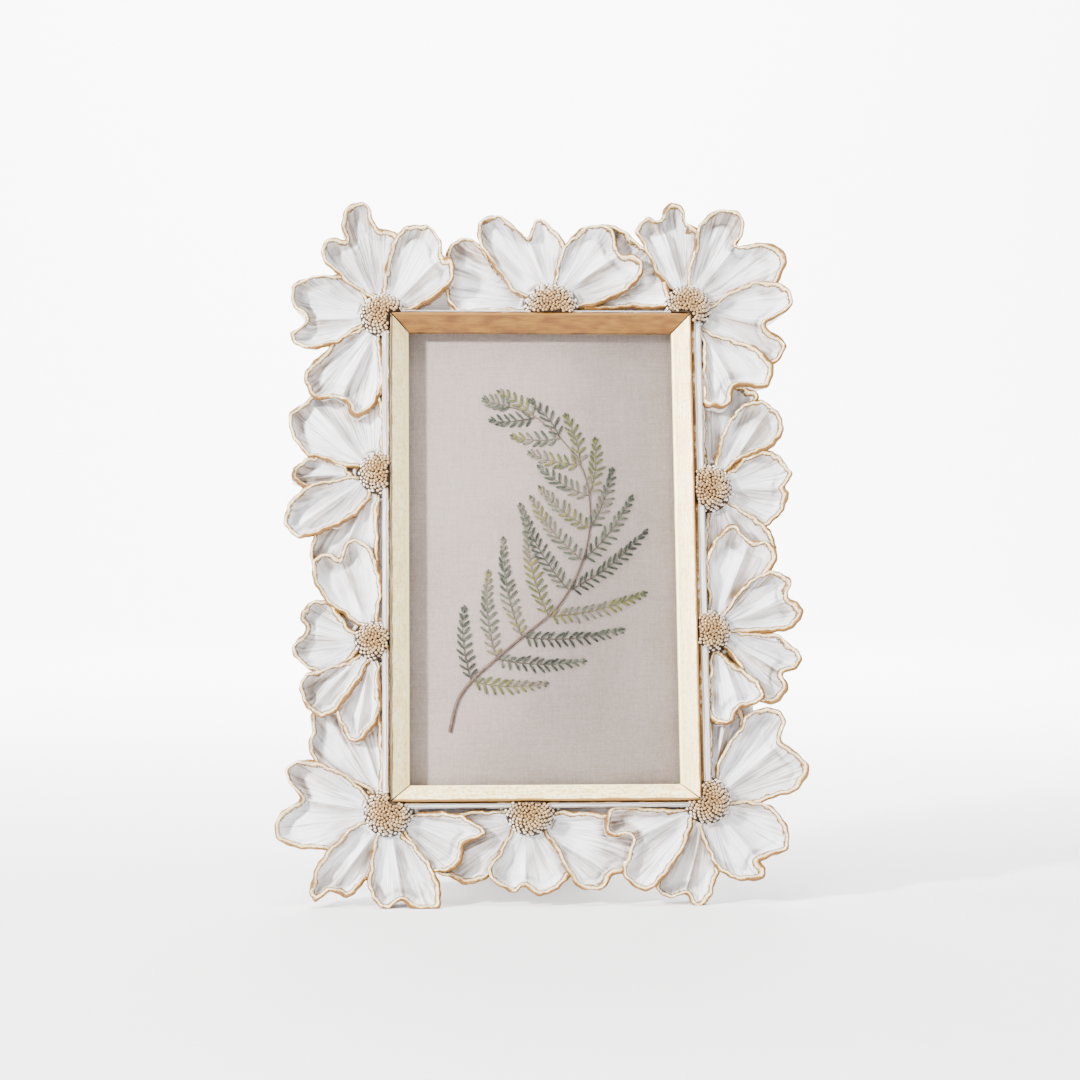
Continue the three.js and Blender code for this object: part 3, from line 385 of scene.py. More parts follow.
def box_outline(x0, y0, x1, y1):
    return [(x0, y0), (x1, y0), (x1, y1), (x0, y1)]


def turned(profile, sides):
    """Points and faces of a profile of (radius, height) turned round z, with closed ends."""
    angles = np.linspace(0, 2 * math.pi, sides, endpoint=False)
    rows = [np.stack([r * np.cos(angles), r * np.sin(angles), np.full(sides, z)], axis=1) for r, z in profile]
    points = np.concatenate(rows + [[[0, 0, profile[0][1]], [0, 0, profile[-1][1]]]])
    faces = grid_faces(len(profile), sides)
    last = (len(profile) - 1) * sides
    first_pole = len(profile) * sides
    for i in range(sides):
        j = (i + 1) % sides
        faces.append((first_pole, j, i))
        faces.append((first_pole + 1, last + i, last + j))
    return points, faces


# Materials
class Nodes:
    """Short names for building a node tree. Three numbers from 0 to 255 are a colour as it is seen."""

    def __init__(self, name, **sockets):
        self.material = bpy.data.materials.new(name)
        self.material.use_nodes = True
        self.tree = self.material.node_tree
        self.shader = self.tree.nodes["Principled BSDF"]
        self.output = self.tree.nodes["Material Output"]
        for key, value in sockets.items():
            self.shader.inputs[key.replace("_", " ")].default_value = value

    def make(self, kind, inputs=None, **settings):
        node = self.tree.nodes.new(kind)
        for key, value in settings.items():
            setattr(node, key, value)
        for key, value in (inputs or {}).items():
            self.feed(node.inputs[key], value)
        return node

    def feed(self, socket, value):
        if isinstance(value, bpy.types.NodeSocket):
            self.tree.links.new(value, socket)
        elif socket.type == "RGBA" and len(value) == 3:
            socket.default_value = srgb(*value)
        else:
            socket.default_value = value

    def mark(self, name):
        return self.make("ShaderNodeAttribute", attribute_name=name).outputs["Fac"]

    def math(self, operation, a, b=0.5):
        return self.make("ShaderNodeMath", {0: a, 1: b}, operation=operation).outputs[0]

    def times(self, a, b):
        return self.math("MULTIPLY", a, b)

    def plus(self, a, b):
        return self.math("ADD", a, b)

    def step(self, value, low, high, to_low=0.0, to_high=1.0):
        made = self.make("ShaderNodeMapRange", {"Value": value, "From Min": low, "From Max": high,
                                                "To Min": to_low, "To Max": to_high},
                         interpolation_type="SMOOTHSTEP")
        return made.outputs["Result"]

    def place(self):
        return self.make("ShaderNodeTexCoord").outputs["Object"]

    def stretched(self, vector, scale):
        return self.make("ShaderNodeMapping", {"Vector": vector, "Scale": scale}).outputs["Vector"]

    def noise(self, vector, scale, detail=3.0, roughness=0.55):
        made = self.make("ShaderNodeTexNoise", {"Vector": vector, "Scale": scale, "Detail": detail,
                                                "Roughness": roughness})
        return made.outputs["Fac"]

    def blend(self, factor, a, b):
        made = self.make("ShaderNodeMix", {"Factor": factor}, data_type="RGBA")
        self.feed(made.inputs[6], a)
        self.feed(made.inputs[7], b)
        return made.outputs[2]

    def tint(self, base, colour, value, low, high, share):
        """Turns base towards a colour, by up to a share, as value rises from low to high."""
        return self.blend(self.times(self.step(value, low, high), share), base, colour)

    def ramp(self, value, stops):
        made = self.make("ShaderNodeValToRGB", {"Fac": value})
        ramp = made.color_ramp
        while len(ramp.elements) < len(stops):
            ramp.elements.new(0.5)
        for element, (place, colour) in zip(ramp.elements, stops):
            element.position = place
            element.color = srgb(*colour)
        return made.outputs["Color"]

    def bump(self, height, strength, distance, under=None):
        inputs = {"Height": height, "Strength": strength, "Distance": distance}
        if under is not None:
            inputs["Normal"] = under
        return self.make("ShaderNodeBump", inputs).outputs["Normal"]

    def finish(self, **links):
        for key, value in links.items():
            self.feed(self.shader.inputs[key.replace("_", " ")], value)
        return self.material


def srgb(red, green, blue):
    """A colour read as 0 to 255, as the linear colour that a shader takes."""
    linear = []
    for value in (red / 255, green / 255, blue / 255):
        linear.append(value / 12.92 if value <= 0.04045 else ((value + 0.055) / 1.055) ** 2.4)
    return (*linear, 1.0)


def enamel_material():
    """White paint with streaks along the petals, painted shade in its troughs, beside folds and under other
    petals, and gilded rims with a painted highlight along their tops and painted shade on their sides.
    """
    n = Nodes("white enamel with gold edges", IOR=1.46)
    drop = n.mark("wall_drop")
    rays = n.make("ShaderNodeCombineXYZ", {0: n.mark("ray_angle"), 1: n.mark("ray_reach"),
                                           2: n.mark("petal_seed")}).outputs[0]
    fine = n.noise(n.stretched(rays, (30, 0.05, 9)), 1.0, 4.0, 0.62)
    broad = n.noise(n.stretched(rays, (9, 0.05, 9)), 1.0, 2.0, 0.5)
    place = n.place()
    mottle = n.noise(place, 260, 3.0)
    speck = n.noise(place, 1400, 2.0)
    face = n.step(drop, 0.3, 2.5, 1.0, 0.25)
    paint = petal_paint(n, rays, fine, broad, mottle, face)
    gold, leaf = rim_gilding(n, drop, place, mottle, speck)
    ribs = n.bump(n.times(n.plus(fine, n.times(broad, 0.8)), face), 0.9, 0.0012)
    grain = n.bump(n.plus(mottle, n.times(speck, 0.5)), 0.3, 0.0003, ribs)
    return n.finish(Base_Color=n.blend(gold, paint, leaf), Roughness=n.step(gold, 0.0, 1.0, 0.4, 0.24),
                    Metallic=n.times(gold, 0.25), Normal=grain)


def petal_paint(n, rays, fine, broad, mottle, face):
    """White with grey streaks, turning cool grey or brown where shade is painted in (troughs, beside folds,
    under other petals), and in a few broad zones of tone.
    """
    streak = n.times(n.step(fine, 0.46, 0.62), n.step(broad, 0.4, 0.6, 0.3, 1.0))
    streak = n.times(streak, face)
    rib_depth = n.step(n.math("SINE", n.times(n.mark("petal_seed"), 5.7)), -1.0, 1.0, 0.4, 0.9)
    white = n.blend(n.times(streak, rib_depth), (253, 252, 254), (150, 151, 156))
    cool = n.blend(streak, (154, 154, 158), (102, 102, 106))
    warm = n.blend(streak, (156, 136, 118), (104, 84, 68))
    shade = n.blend(n.step(broad, 0.36, 0.54), cool, warm)
    patchy = n.step(n.plus(fine, mottle), 0.75, 1.25, 0.6, 1.0)
    # Painted shade: grey or brown laid patchily where the petal lies in shade.
    painted_shade_amount = n.times(n.step(n.mark("hollow"), 0.05, 0.9), patchy)
    zones = n.noise(n.stretched(rays, (3.5, 0.04, 9)), 1.0, 1.0, 0.5)
    haze = n.times(n.times(n.step(zones, 0.5, 0.6), 0.42), face)
    return n.blend(n.math("MAXIMUM", painted_shade_amount, haze), white, shade)


def rim_gilding(n, drop, place, mottle, speck):
    """Where the rims are gilded, and in what colour: a pale painted highlight along the top of each rim,
    between brown-gold lines of painted shade.
    """
    edge = n.math("SUBTRACT", n.mark("rim_distance"), n.times(n.mark("rim_bold"), 0.65))
    edge = n.plus(edge, n.step(n.noise(place, 110, 2.0), 0.35, 0.65, -0.3, 0.3))
    ragged = n.plus(edge, n.step(mottle, 0.3, 0.7, -0.16, 0.16))
    ragged = n.plus(ragged, n.step(speck, 0.3, 0.7, -0.1, 0.1))
    line = n.step(ragged, RIM_GILT - 0.2, RIM_GILT, 1.0, 0.0)
    lowered = n.plus(drop, n.step(mottle, 0.3, 0.7, -1.0, 1.0))
    side = n.step(lowered, 2.2, 3.6, 1.0, 0.0)
    gold = n.times(n.times(line, side), n.mark("gilded"))
    # Painted light across the rim: a pale highlight along its top, brown-gold painted shade on either side.
    lit_top_and_shaded_sides = n.ramp(n.math("DIVIDE", ragged, RIM_GILT), [
        (0.0, (118, 80, 28)), (0.18, (172, 128, 66)), (0.36, (248, 230, 188)), (0.56, (248, 230, 184)),
        (0.74, (150, 112, 54)), (0.88, (74, 52, 20)), (1.0, (104, 84, 56))])
    # Down the petals' walls the gilding is darker brown-gold: painted shade, mottled as uneven gilding.
    mottled_shaded_wall_gold = n.blend(n.step(speck, 0.35, 0.65), (128, 80, 22), (186, 140, 70))
    mottled_shaded_wall_gold = n.blend(n.step(mottle, 0.5, 0.7), mottled_shaded_wall_gold, (222, 190, 132))
    leaf = n.blend(n.step(drop, 0.15, 1.0), lit_top_and_shaded_sides, mottled_shaded_wall_gold)
    leaf = n.tint(leaf, (168, 122, 58), mottle, 0.52, 0.72, 0.35)
    return gold, leaf


def gilt_material():
    """Brushed pale gold with a dark ridge line; painted shade darkens the top length, which faces down, the
    left length is kept paler as painted light, and a painted highlight runs along the sight edge of every
    length but the top.
    """
    n = Nodes("brushed gilt", IOR=1.5)
    across = n.mark("across")
    rail = n.mark("rail")
    left, right, top = (n.math("COMPARE", rail, RAILS.index(side)) for side in ("left", "right", "top"))
    rubbed = n.make("ShaderNodeCombineXYZ", {0: n.mark("along"), 1: across, 2: rail}).outputs[0]
    brushed = n.noise(n.stretched(rubbed, (0.12, 5.0, 7.0)), 1.0, 5.0, 0.6)
    cloudy = n.noise(n.stretched(rubbed, (0.16, 0.5, 7.0)), 1.0, 3.0, 0.5)
    flecks = n.noise(n.place(), 900, 2.0)
    # Painted light: the left length gets less of the grain's darker tint, so it stays pale though it faces
    # away from the light.
    grain_tint_and_left_light = n.step(left, 0.0, 1.0, 0.6, 0.32)
    pale = n.ramp(cloudy, [(0.3, (246, 218, 138)), (0.5, (255, 240, 178)), (0.72, (255, 250, 214))])
    pale = n.tint(pale, (190, 156, 92), brushed, 0.47, 0.62, grain_tint_and_left_light)
    pale = n.tint(pale, (196, 160, 104), flecks, 0.49, 0.6, grain_tint_and_left_light)
    pale = n.blend(n.times(right, 0.5), pale, (222, 196, 150))
    # Painted shade: the top length, which faces down, is a darker brown-gold.
    shaded_top_gold = n.ramp(cloudy, [(0.35, (104, 60, 6)), (0.6, (132, 90, 24))])
    shaded_top_gold = n.tint(shaded_top_gold, (78, 46, 12), brushed, 0.46, 0.62, 0.6)
    colour = n.blend(top, pale, shaded_top_gold)
    line = n.step(n.plus(across, n.step(cloudy, 0.3, 0.7, -0.12, 0.12)), 0.62, 0.9, 1.0, 0.0)
    # The ridge line is darker on the left length.
    ridge_line_colour = n.blend(left, (140, 96, 36), (66, 50, 12))
    colour = n.blend(n.times(line, 0.95), colour, ridge_line_colour)
    # Painted highlight: a pale yellow line along the sight edge, on every length but the top.
    sight = n.times(n.step(across, 4.9, 5.4), n.step(top, 0.0, 1.0, 1.0, 0.0))
    colour = n.blend(n.times(sight, 0.8), colour, (255, 238, 168))
    ribs = n.bump(n.plus(brushed, n.times(flecks, 0.3)), 0.35, 0.0004)
    return n.finish(Base_Color=colour, Roughness=n.step(brushed, 0.3, 0.7, 0.3, 0.45),
                    Metallic=n.step(cloudy, 0.3, 0.7, 0.28, 0.36), Normal=ribs)


def bead_material():
    n = Nodes("champagne beading")
    tone = n.mark("bead_tone")
    depth = n.mark("bead_depth")
    place = n.place()
    mottle = n.noise(place, 900, 3.0)
    metal = n.ramp(tone, [(0.0, (144, 112, 74)), (0.45, (184, 156, 118)), (0.8, (218, 202, 180)),
                          (1.0, (242, 238, 232))])
    metal = n.blend(n.times(mottle, 0.25), metal, (160, 120, 72))
    # Painted shade: dark brown on the dome and on each bead's lower half, where the gaps lie in shadow.
    wash = n.step(depth, 0.0, 0.5)
    colour = n.blend(wash, metal, (48, 32, 18))
    return n.finish(Base_Color=colour, Metallic=n.step(tone, 0.3, 1.0, 0.6, 0.25),
                    Roughness=n.step(mottle, 0.3, 0.7, 0.26, 0.42), Normal=n.bump(mottle, 0.15, 0.0002))


def glass_material():
    n = Nodes("clear float glass")
    clear = n.make("ShaderNodeBsdfTransparent", {"Color": (0.985, 0.99, 0.987, 1)})
    gloss = n.make("ShaderNodeBsdfGlossy", {"Roughness": 0.02, "Color": (1, 1, 1, 1)})
    smudges = n.noise(n.place(), 55, 3.0)
    facing = n.make("ShaderNodeFresnel", {"IOR": 1.3}).outputs[0]
    share = n.times(facing, n.step(smudges, 0.3, 0.7, 0.5, 0.65))
    mixed = n.make("ShaderNodeMixShader", {0: share, 1: clear.outputs[0], 2: gloss.outputs[0]})
    n.tree.links.new(mixed.outputs[0], n.output.inputs["Surface"])
    n.tree.nodes.remove(n.shader)
    return n.material


def linen_material():
    n = Nodes("linen card", Roughness=0.85)
    place = n.place()
    warp = n.noise(n.stretched(place, (2600, 120, 120)), 1.0, 3.0, 0.6)
    weft = n.noise(n.stretched(place, (110, 600, 2600)), 1.0, 3.0, 0.6)
    cloud = n.noise(place, 40, 3.0)
    threads = n.plus(warp, weft)
    base = n.blend(n.step(cloud, 0.3, 0.7), (163, 147, 141), (157, 140, 134))
    base = n.tint(base, (130, 113, 104), threads, 0.85, 1.2, 0.35)
    fleck = n.noise(place, 1300, 2.0)
    base = n.tint(base, (188, 174, 168), fleck, 0.45, 0.65, 0.25)
    return n.finish(Base_Color=base, Normal=n.bump(threads, 0.3, 0.0002))


def fern_material():
    n = Nodes("pressed fern", Roughness=0.7)
    hue = n.mark("leaf_hue")
    tip = n.mark("leaf_tip")
    woody = n.mark("woody")
    place = n.place()
    mottle = n.noise(place, 1100, 3.0)
    greens = n.ramp(hue, [(0.0, (32, 40, 30)), (0.28, (56, 64, 48)), (0.5, (94, 98, 80)),
                          (0.7, (112, 100, 88)), (0.82, (116, 110, 40)), (1.0, (78, 84, 34))])
    greens = n.tint(greens, (24, 32, 20), tip, 0.4, 1.0, 0.55)
    greens = n.tint(greens, (126, 126, 104), mottle, 0.45, 0.7, 0.3)
    bark = n.blend(n.step(mottle, 0.35, 0.65), (84, 64, 54), (104, 84, 72))
    colour = n.blend(woody, greens, bark)
    return n.finish(Base_Color=colour, Normal=n.bump(mottle, 0.3, 0.0002))


def velvet_material():
    n = Nodes("taupe velveteen", Roughness=0.9, Sheen_Weight=0.6, Sheen_Roughness=0.4)
    place = n.place()
    nap = n.noise(place, 2600, 2.0)
    brushed = n.noise(n.stretched(place, (60, 60, 18)), 1.0, 3.0)
    base = n.blend(n.step(brushed, 0.35, 0.65), (168, 154, 138), (186, 174, 158))
    base = n.blend(n.times(nap, 0.35), base, (132, 118, 102))
    return n.finish(Base_Color=base, Normal=n.bump(nap, 0.4, 0.0003))


def brass_material():
    n = Nodes("brassed steel", Metallic=1.0)
    place = n.place()
    cloud = n.noise(place, 140, 4.0)
    scratch = n.noise(n.stretched(place, (2400, 2400, 60)), 1.0, 3.0)
    base = n.blend(n.step(cloud, 0.3, 0.7), (206, 178, 116), (182, 150, 92))
    base = n.tint(base, (226, 208, 162), scratch, 0.5, 0.75, 0.3)
    return n.finish(Base_Color=base, Roughness=n.step(cloud, 0.3, 0.7, 0.26, 0.42),
                    Normal=n.bump(scratch, 0.12, 0.0002))


# The cast border
def hull_depth(outline):
    """How far each outline point lies inside the outline's convex hull."""
    ordered = sorted(range(len(outline)), key=lambda i: tuple(outline[i]))

    def chain(indices):
        kept = []
        for i in indices:
            while len(kept) > 1:
                a, b = outline[kept[-2]], outline[kept[-1]]
                if (b[0] - a[0]) * (outline[i][1] - a[1]) - (b[1] - a[1]) * (outline[i][0] - a[0]) > 0:
                    break
                kept.pop()
            kept.append(i)
        return kept

    hull = chain(ordered)[:-1] + chain(ordered[::-1])[:-1]
    return edge_distance(outline, outline[hull])[0]


class Petal:
    """One petal of the casting: its edge, the heights of its dished face, and its wall."""

    COLUMNS = 108
    INSETS = (0.25, 0.55, 0.9, 1.25, 1.7, 2.4)
    SHARES = (0.1, 0.2, 0.31, 0.43, 0.56, 0.69, 0.81, 0.92, 1.0)
    # Rows of the wall: how far down they lie, and how far in, as shares of its height and its draft
    WALL_ROWS = ((1.0, 1.0), (0.72, 0.72), (0.45, 0.42), (0.22, 0.14), (0.08, 0.0))

    def __init__(self, seed, centre, rank, outline):
        self.seed = seed
        self.rank = rank
        self.centre = np.array(centre, float)
        knots = np.array(outline, float) + self.centre
        following = np.roll(knots, -1, axis=0)
        if (knots[:, 0] * following[:, 1] - following[:, 0] * knots[:, 1]).sum() < 0:
            knots = knots[::-1]
        self.loop = self.worked(spline(knots, self.COLUMNS, True))
        self.middle = knots.mean(0)
        self.find_notches()

    def worked(self, loop):
        """The outline with the slight unevenness of an edge cut by hand."""
        ahead = np.roll(loop, -1, axis=0) - np.roll(loop, 1, axis=0)
        out = np.stack([ahead[:, 1], -ahead[:, 0]], axis=1) / np.linalg.norm(ahead, axis=1)[:, None]
        turn = np.linspace(0, 2 * math.pi, len(loop), endpoint=False)
        sway = 0.16 * np.sin(11 * turn + self.seed) + 0.12 * np.sin(23 * turn + 2 * self.seed)
        return loop + out * (sway - 0.12)[:, None]

    def find_notches(self):
        """The places where the petal's tip is notched, deepest first; an even tip counts as one."""
        depth = hull_depth(self.loop)
        reach = np.linalg.norm(self.loop - self.centre, axis=1)
        depth = np.where(reach > 0.55 * reach.max(), depth, 0)
        highest = np.maximum.reduce([np.roll(depth, k) for k in range(-6, 7)])
        found = np.flatnonzero((depth == highest) & (depth > 0.8))
        found = sorted(found, key=lambda i: -depth[i])
        self.notches = [self.loop[i] for i in found]
        if not self.notches:
            self.notches = [self.middle + 0.8 * (self.middle - self.centre)]

    def heights(self, points, edge, others):
        """Height of the petal's face at points that lie edge millimetres inside its outline."""
        reach = np.linalg.norm(points - self.centre, axis=1)
        ramp = smoothstep(reach, 5, 26)
        tip = smoothstep(reach / reach.max(), 0.5, 0.92)
        angle = self.angles(points)
        inside = smoothstep(edge, 0.9, 3.2)
        lobe = 0.65 + 0.35 * wave(angle * 4, self.seed + 2)
        rim = self.rim_height(points, ramp, angle)
        side, dish = self.dish(points, edge, reach)
        creases = self.creases(points, reach, inside)
        width = lerp(*RELIEF["trough_width"], tip * lobe)
        into = (edge - 1.1) / width
        trough = smoothstep(into, 0, 0.35) * (1 - smoothstep(into, 0.65, 1.0))
        trough = trough * lerp(*RELIEF["trough_depth"], tip * lobe)
        folds = wave(angle * 17 + 0.04 * reach, self.seed + 3) * 0.36 + wave(angle * 43, self.seed + 5) * 0.16
        lip = RELIEF["lip"] * lerp(0.5, 1.0, ramp) * smoothstep(edge, 0.75, 1.6)
        rounding = RELIEF["rounding"] * (1 - np.clip(edge / RELIEF["rounding"], 0, 1)) ** 2
        height = rim - rounding - lip - dish * inside - trough * ramp - creases + folds * inside * ramp
        lowest = GROUND_RING["height"] + 0.3
        height = np.where(height < lowest + 1, lowest + np.exp(np.minimum(height - lowest - 1, 0)), height)
        height, covered = self.tuck(points, height, others)
        # The painted shade on the face, kept for its colour.
        self.hollow = self.wash(points, edge, reach, width, side, covered)
        return np.where(in_pocket(points), np.minimum(height, GROUND_RING["height"] - 0.1), height)

    def rim_height(self, points, ramp, angle):
        """Height of the rim: it climbs to the tip, sways a little, and dips at each notch."""
        rim = lerp(RIM["centre"], RIM["tip"] + RIM["step"] * self.rank, ramp)
        rim = rim + (0.3 * wave(angle * 8, self.seed) - 0.3) * ramp
        for notch in self.notches:
            near = np.exp(-(np.linalg.norm(points - notch, axis=1) / RELIEF["notch_width"]) ** 2)
            rim = rim - RELIEF["notch_depth"] * near
        return rim

    def across(self, points, notch):
        """Distance of each point to the line from the flower's centre to a notch, with its side as sign."""
        line = notch - self.centre
        return ((points - self.centre) @ np.array([-line[1], line[0]])) / np.linalg.norm(line)

    def dish(self, points, edge, reach):
        """How deep each half of the petal is dished between its middle fold and its rim."""
        side = self.across(points, self.notches[0])
        span = np.abs(side) + edge
        share = np.abs(side) / np.maximum(span, 1e-6)
        valley = 0.1 + 0.9 * np.sin(math.pi / 2 * np.clip(share / 0.45, 0, 1))
        valley = valley * (1 - smoothstep(share, 0.5, 1.0))
        lean = 1 + 0.3 * np.sign(side) * math.sin(self.seed * 1.9)
        deepest = np.minimum(RELIEF["dish_share"] * span, RELIEF["dish_depth"])
        return side, deepest * lean * valley * smoothstep(reach, 3, 15)

    def creases(self, points, reach, inside):
        """The grooves that run from the smaller notches towards the centre."""
        cut = np.zeros(len(points))
        for notch in self.notches[1:]:
            groove = np.exp(-(self.across(points, notch) / RELIEF["crease_width"]) ** 2)
            cut = cut + RELIEF["crease_depth"] * groove * smoothstep(reach, 8, 20) * inside
        return cut

    def tuck(self, points, height, others):
        """Lowers the face under other petals and beside the slip, and tells how near other petals are."""
        slip_x = np.abs(points[:, 0]) - RIDGE[0] - COLLAR["right"] - GAP
        slip_y = np.abs(points[:, 1]) - RIDGE[1] - COLLAR["bottom"] - GAP
        from_slip = np.maximum(slip_x, slip_y)
        height = np.minimum(height, COLLAR["height"] - 1.5 + 0.9 * np.maximum(from_slip, 0))
        covered = np.zeros(len(points))
        for other in others:
            if other.rank <= self.rank or np.linalg.norm(other.middle - self.middle) > 60:
                continue
            gap, within = edge_distance(points, other.loop)
            sunk = lerp(height, TUCKED, smoothstep(gap, 0.3, 1.7))
            height = np.where(within, np.minimum(height, sunk), height)
            covered = np.maximum(covered, np.where(within, 1, np.exp(-gap / 1.8)))
        return height, covered

    def wash(self, points, edge, reach, width, side, covered):
        """How much painted shade lies on the face: in the trough inside the rim, most on the side towards the
        light where the rim's shadow falls; beside the fold, on its side away from the light; and near and
        under other petals.
        """
        out = points - self.middle
        out = out / np.maximum(np.linalg.norm(out, axis=1), 1e-6)[:, None]
        sheltered = smoothstep(out @ SHELTERED, -0.4, 0.8)
        beside_rim = 1 - smoothstep(edge, 0.9 + 0.45 * width, 0.9 + 1.25 * width)
        beside_rim = beside_rim * lerp(0.3, 1.0, sheltered)
        line = self.notches[0] - self.centre
        turned = side * (1 if np.array([-line[1], line[0]]) @ SHELTERED < 0 else -1)
        beside_fold = smoothstep(turned, 0.0, 0.6) * np.exp(-np.maximum(turned, 0) / 3.8)
        patchy = 0.75 + 0.45 * wave(self.angles(points) * 5, self.seed + 8)
        amount = np.maximum(1.05 * beside_rim, beside_fold) * patchy
        return np.clip(np.maximum(amount, covered), 0, 1) * smoothstep(reach, 5, 13)

    def angles(self, points):
        """The direction of each point from the flower's centre, measured from the petal's middle."""
        away = self.middle - self.centre
        offset = points - self.centre
        cross = away[0] * offset[:, 1] - away[1] * offset[:, 0]
        return np.arctan2(cross, offset @ away)

    def boldness_and_shade(self, inward):
        """How heavily the rim is gilded round the petal, unevenly and with painted shade: wider, darker gold
        on the sides that face right and down, away from the light.
        """
        turn = np.linspace(0, 2 * math.pi, self.COLUMNS, endpoint=False)
        # Painted shade: heavier, darker gilding on the rim's sides facing away from the light.
        facing = smoothstep(inward @ SHELTERED, 0.1, 0.9)
        uneven = smoothstep(wave(turn * 5, self.seed + 4), 0.1, 0.7)
        return np.clip(0.85 * facing + 0.6 * uneven, 0, 1)

    def spine(self):
        """For each outline point, the nearest place on the line that the face's rings close up on."""
        away = self.notches[0] - self.centre
        start = self.centre + 0.3 * away
        along = 0.48 * away
        share = np.clip(((self.loop - start) @ along) / (along @ along), 0, 1)
        return start + share[:, None] * along

    def wall(self, top, inward, reach_in):
        """The wall's points and heights, from the back up; it leans in where the flat back doesn't reach."""
        over_x = np.abs(self.loop[:, 0]) - GROUND_RING["x"]
        over_y = np.abs(self.loop[:, 1]) - GROUND_RING["y"]
        draft = WALL_DRAFT * smoothstep(np.maximum(over_x, over_y), -1.5, 1.5)[:, None]
        points, heights = [], []
        for down, lean in self.WALL_ROWS:
            points.append(self.loop + inward * np.minimum(draft * lean, 0.6 * reach_in))
            heights.append(top * (1 - down) + 0.05 + 0.004 * self.seed * down)
        return np.concatenate(points), np.concatenate(heights)

    def build(self, border, others):
        inner = self.spine()
        reach_in = np.linalg.norm(inner - self.loop, axis=1)[:, None]
        inward = (inner - self.loop) / np.maximum(reach_in, 1e-6)
        rings = [self.loop + inward * np.minimum(inset, 0.3 * reach_in) for inset in (0.0,) + self.INSETS]
        rings += [lerp(rings[len(self.INSETS)], inner, share) for share in self.SHARES]
        face = np.concatenate(rings)
        edge, _ = edge_distance(face, self.loop)
        face_height = self.heights(face, edge, others)
        top = face_height[:self.COLUMNS]
        wall, wall_height = self.wall(top, inward, reach_in)
        on_wall = np.zeros(len(wall))
        tucked = (face_height < TUCKED + 0.5).astype(float)
        points = np.concatenate([wall, face])
        height = np.concatenate([wall_height, face_height])
        drop = np.tile(top, len(self.WALL_ROWS)) - wall_height
        rows = len(self.WALL_ROWS) + len(rings)
        faces = grid_faces(rows, self.COLUMNS)
        faces.append(tuple(range(self.COLUMNS))[::-1])
        border.add(np.column_stack([points, height]), faces, rim_distance=np.concatenate([on_wall, edge]),
                   wall_drop=np.concatenate([drop, np.zeros(len(face))]),
                   hollow=np.concatenate([on_wall, self.hollow]),
                   gilded=1 - np.concatenate([on_wall, tucked]),
                   rim_bold=np.tile(self.boldness_and_shade(inward), rows), ray_angle=self.angles(points),
                   ray_reach=np.linalg.norm(points - self.centre, axis=1), petal_seed=self.seed * 0.37)


def rounded_loop(half_x, half_y, corner, steps):
    """Points round a rounded rectangle, corner by corner, anticlockwise from the right."""
    loop = []
    for index, (sx, sy) in enumerate(((1, 1), (-1, 1), (-1, -1), (1, -1))):
        for i in range(steps + 1):
            angle = math.pi / 2 * (index + i / steps)
            loop.append((sx * (half_x - corner) + corner * math.cos(angle),
                         sy * (half_y - corner) + corner * math.sin(angle)))
    return np.array(loop)


def swept_loops(border, loops, **marks):
    """Joins closed loops of equal length, given as (points, height), into a closed ring-shaped solid."""
    count = len(loops[0][0])
    points = np.concatenate([np.column_stack([loop, np.full(count, height)]) for loop, height in loops])
    border.add(points, ring_faces(len(loops), count), **marks)


def collar_loop(outset, steps):
    """The collar's edge: outset is the share of its width on each side, from the slip outwards."""
    left = -RIDGE[0] - GAP - COLLAR["left"] * outset
    right = RIDGE[0] + GAP + COLLAR["right"] * outset
    top = RIDGE[1] + GAP + COLLAR["top"] * outset
    bottom = -RIDGE[1] - GAP - COLLAR["bottom"] * outset
    corners = [(right, top), (left, top), (left, bottom), (right, bottom)]
    loop = []
    for (ax, ay), (bx, by) in zip(corners, corners[1:] + corners[:1]):
        loop += [(lerp(ax, bx, i / steps), lerp(ay, by, i / steps)) for i in range(steps)]
    return np.array(loop)


def ground_ring(border):
    """The flat back of the casting, with rounded edges, round the rebate that takes glass and board."""
    steps = 8
    rounding = 0.6
    top = GROUND_RING["height"]
    half_x, half_y, corner = GROUND_RING["x"], GROUND_RING["y"], GROUND_RING["corner"]
    outer = rounded_loop(half_x, half_y, corner, steps)
    shoulder = rounded_loop(half_x - rounding, half_y - rounding, corner - rounding, steps)
    rebate = rounded_loop(PANE[0] + GAP, PANE[1] + GAP, 0.2, steps)
    loops = [(rebate, 0.0), (shoulder, 0.0), (outer, rounding), (outer, top - rounding), (shoulder, top),
             (rebate, top)]
    swept_loops(border, loops, hollow=0.3, **UNGILDED)


def collar(border):
    """The ledge round the slip: a gilt line beside it, a groove, and a plain ledge with a rounded edge."""
    level = COLLAR["height"]
    base = 5.5
    steps = 24
    # Rows: share of the collar's width from the slip outwards, height, gilded, and painted shade (in the
    # groove, down the outer wall and beside the slip)
    profile = [(0.0, base, 0, 0), (1.0, base, 0, 1), (1.0, level - 0.6, 0, 1), (0.9, level - 0.15, 0, 0.8),
               (0.8, level, 0, 0.2), (0.52, level, 0, 0), (0.46, level, 0, 0.3), (0.4, level - 0.4, 0, 1),
               (0.34, level - 0.1, 0, 0.5), (0.26, level, 0.2, 0), (0.2, level - 0.02, 1, 0),
               (0.0, level - 0.25, 1, 1)]
    around = len(RAILS) * steps
    outset, _, gilded, painted_collar_shade = (np.repeat(column, around) for column in zip(*profile))
    swept_loops(border, [(collar_loop(row[0], steps), row[1]) for row in profile], rim_distance=0.08,
                wall_drop=0.0, gilded=gilded, hollow=painted_collar_shade, ray_angle=0.3 * outset,
                ray_reach=np.tile(np.arange(around) * 5.0, len(profile)))


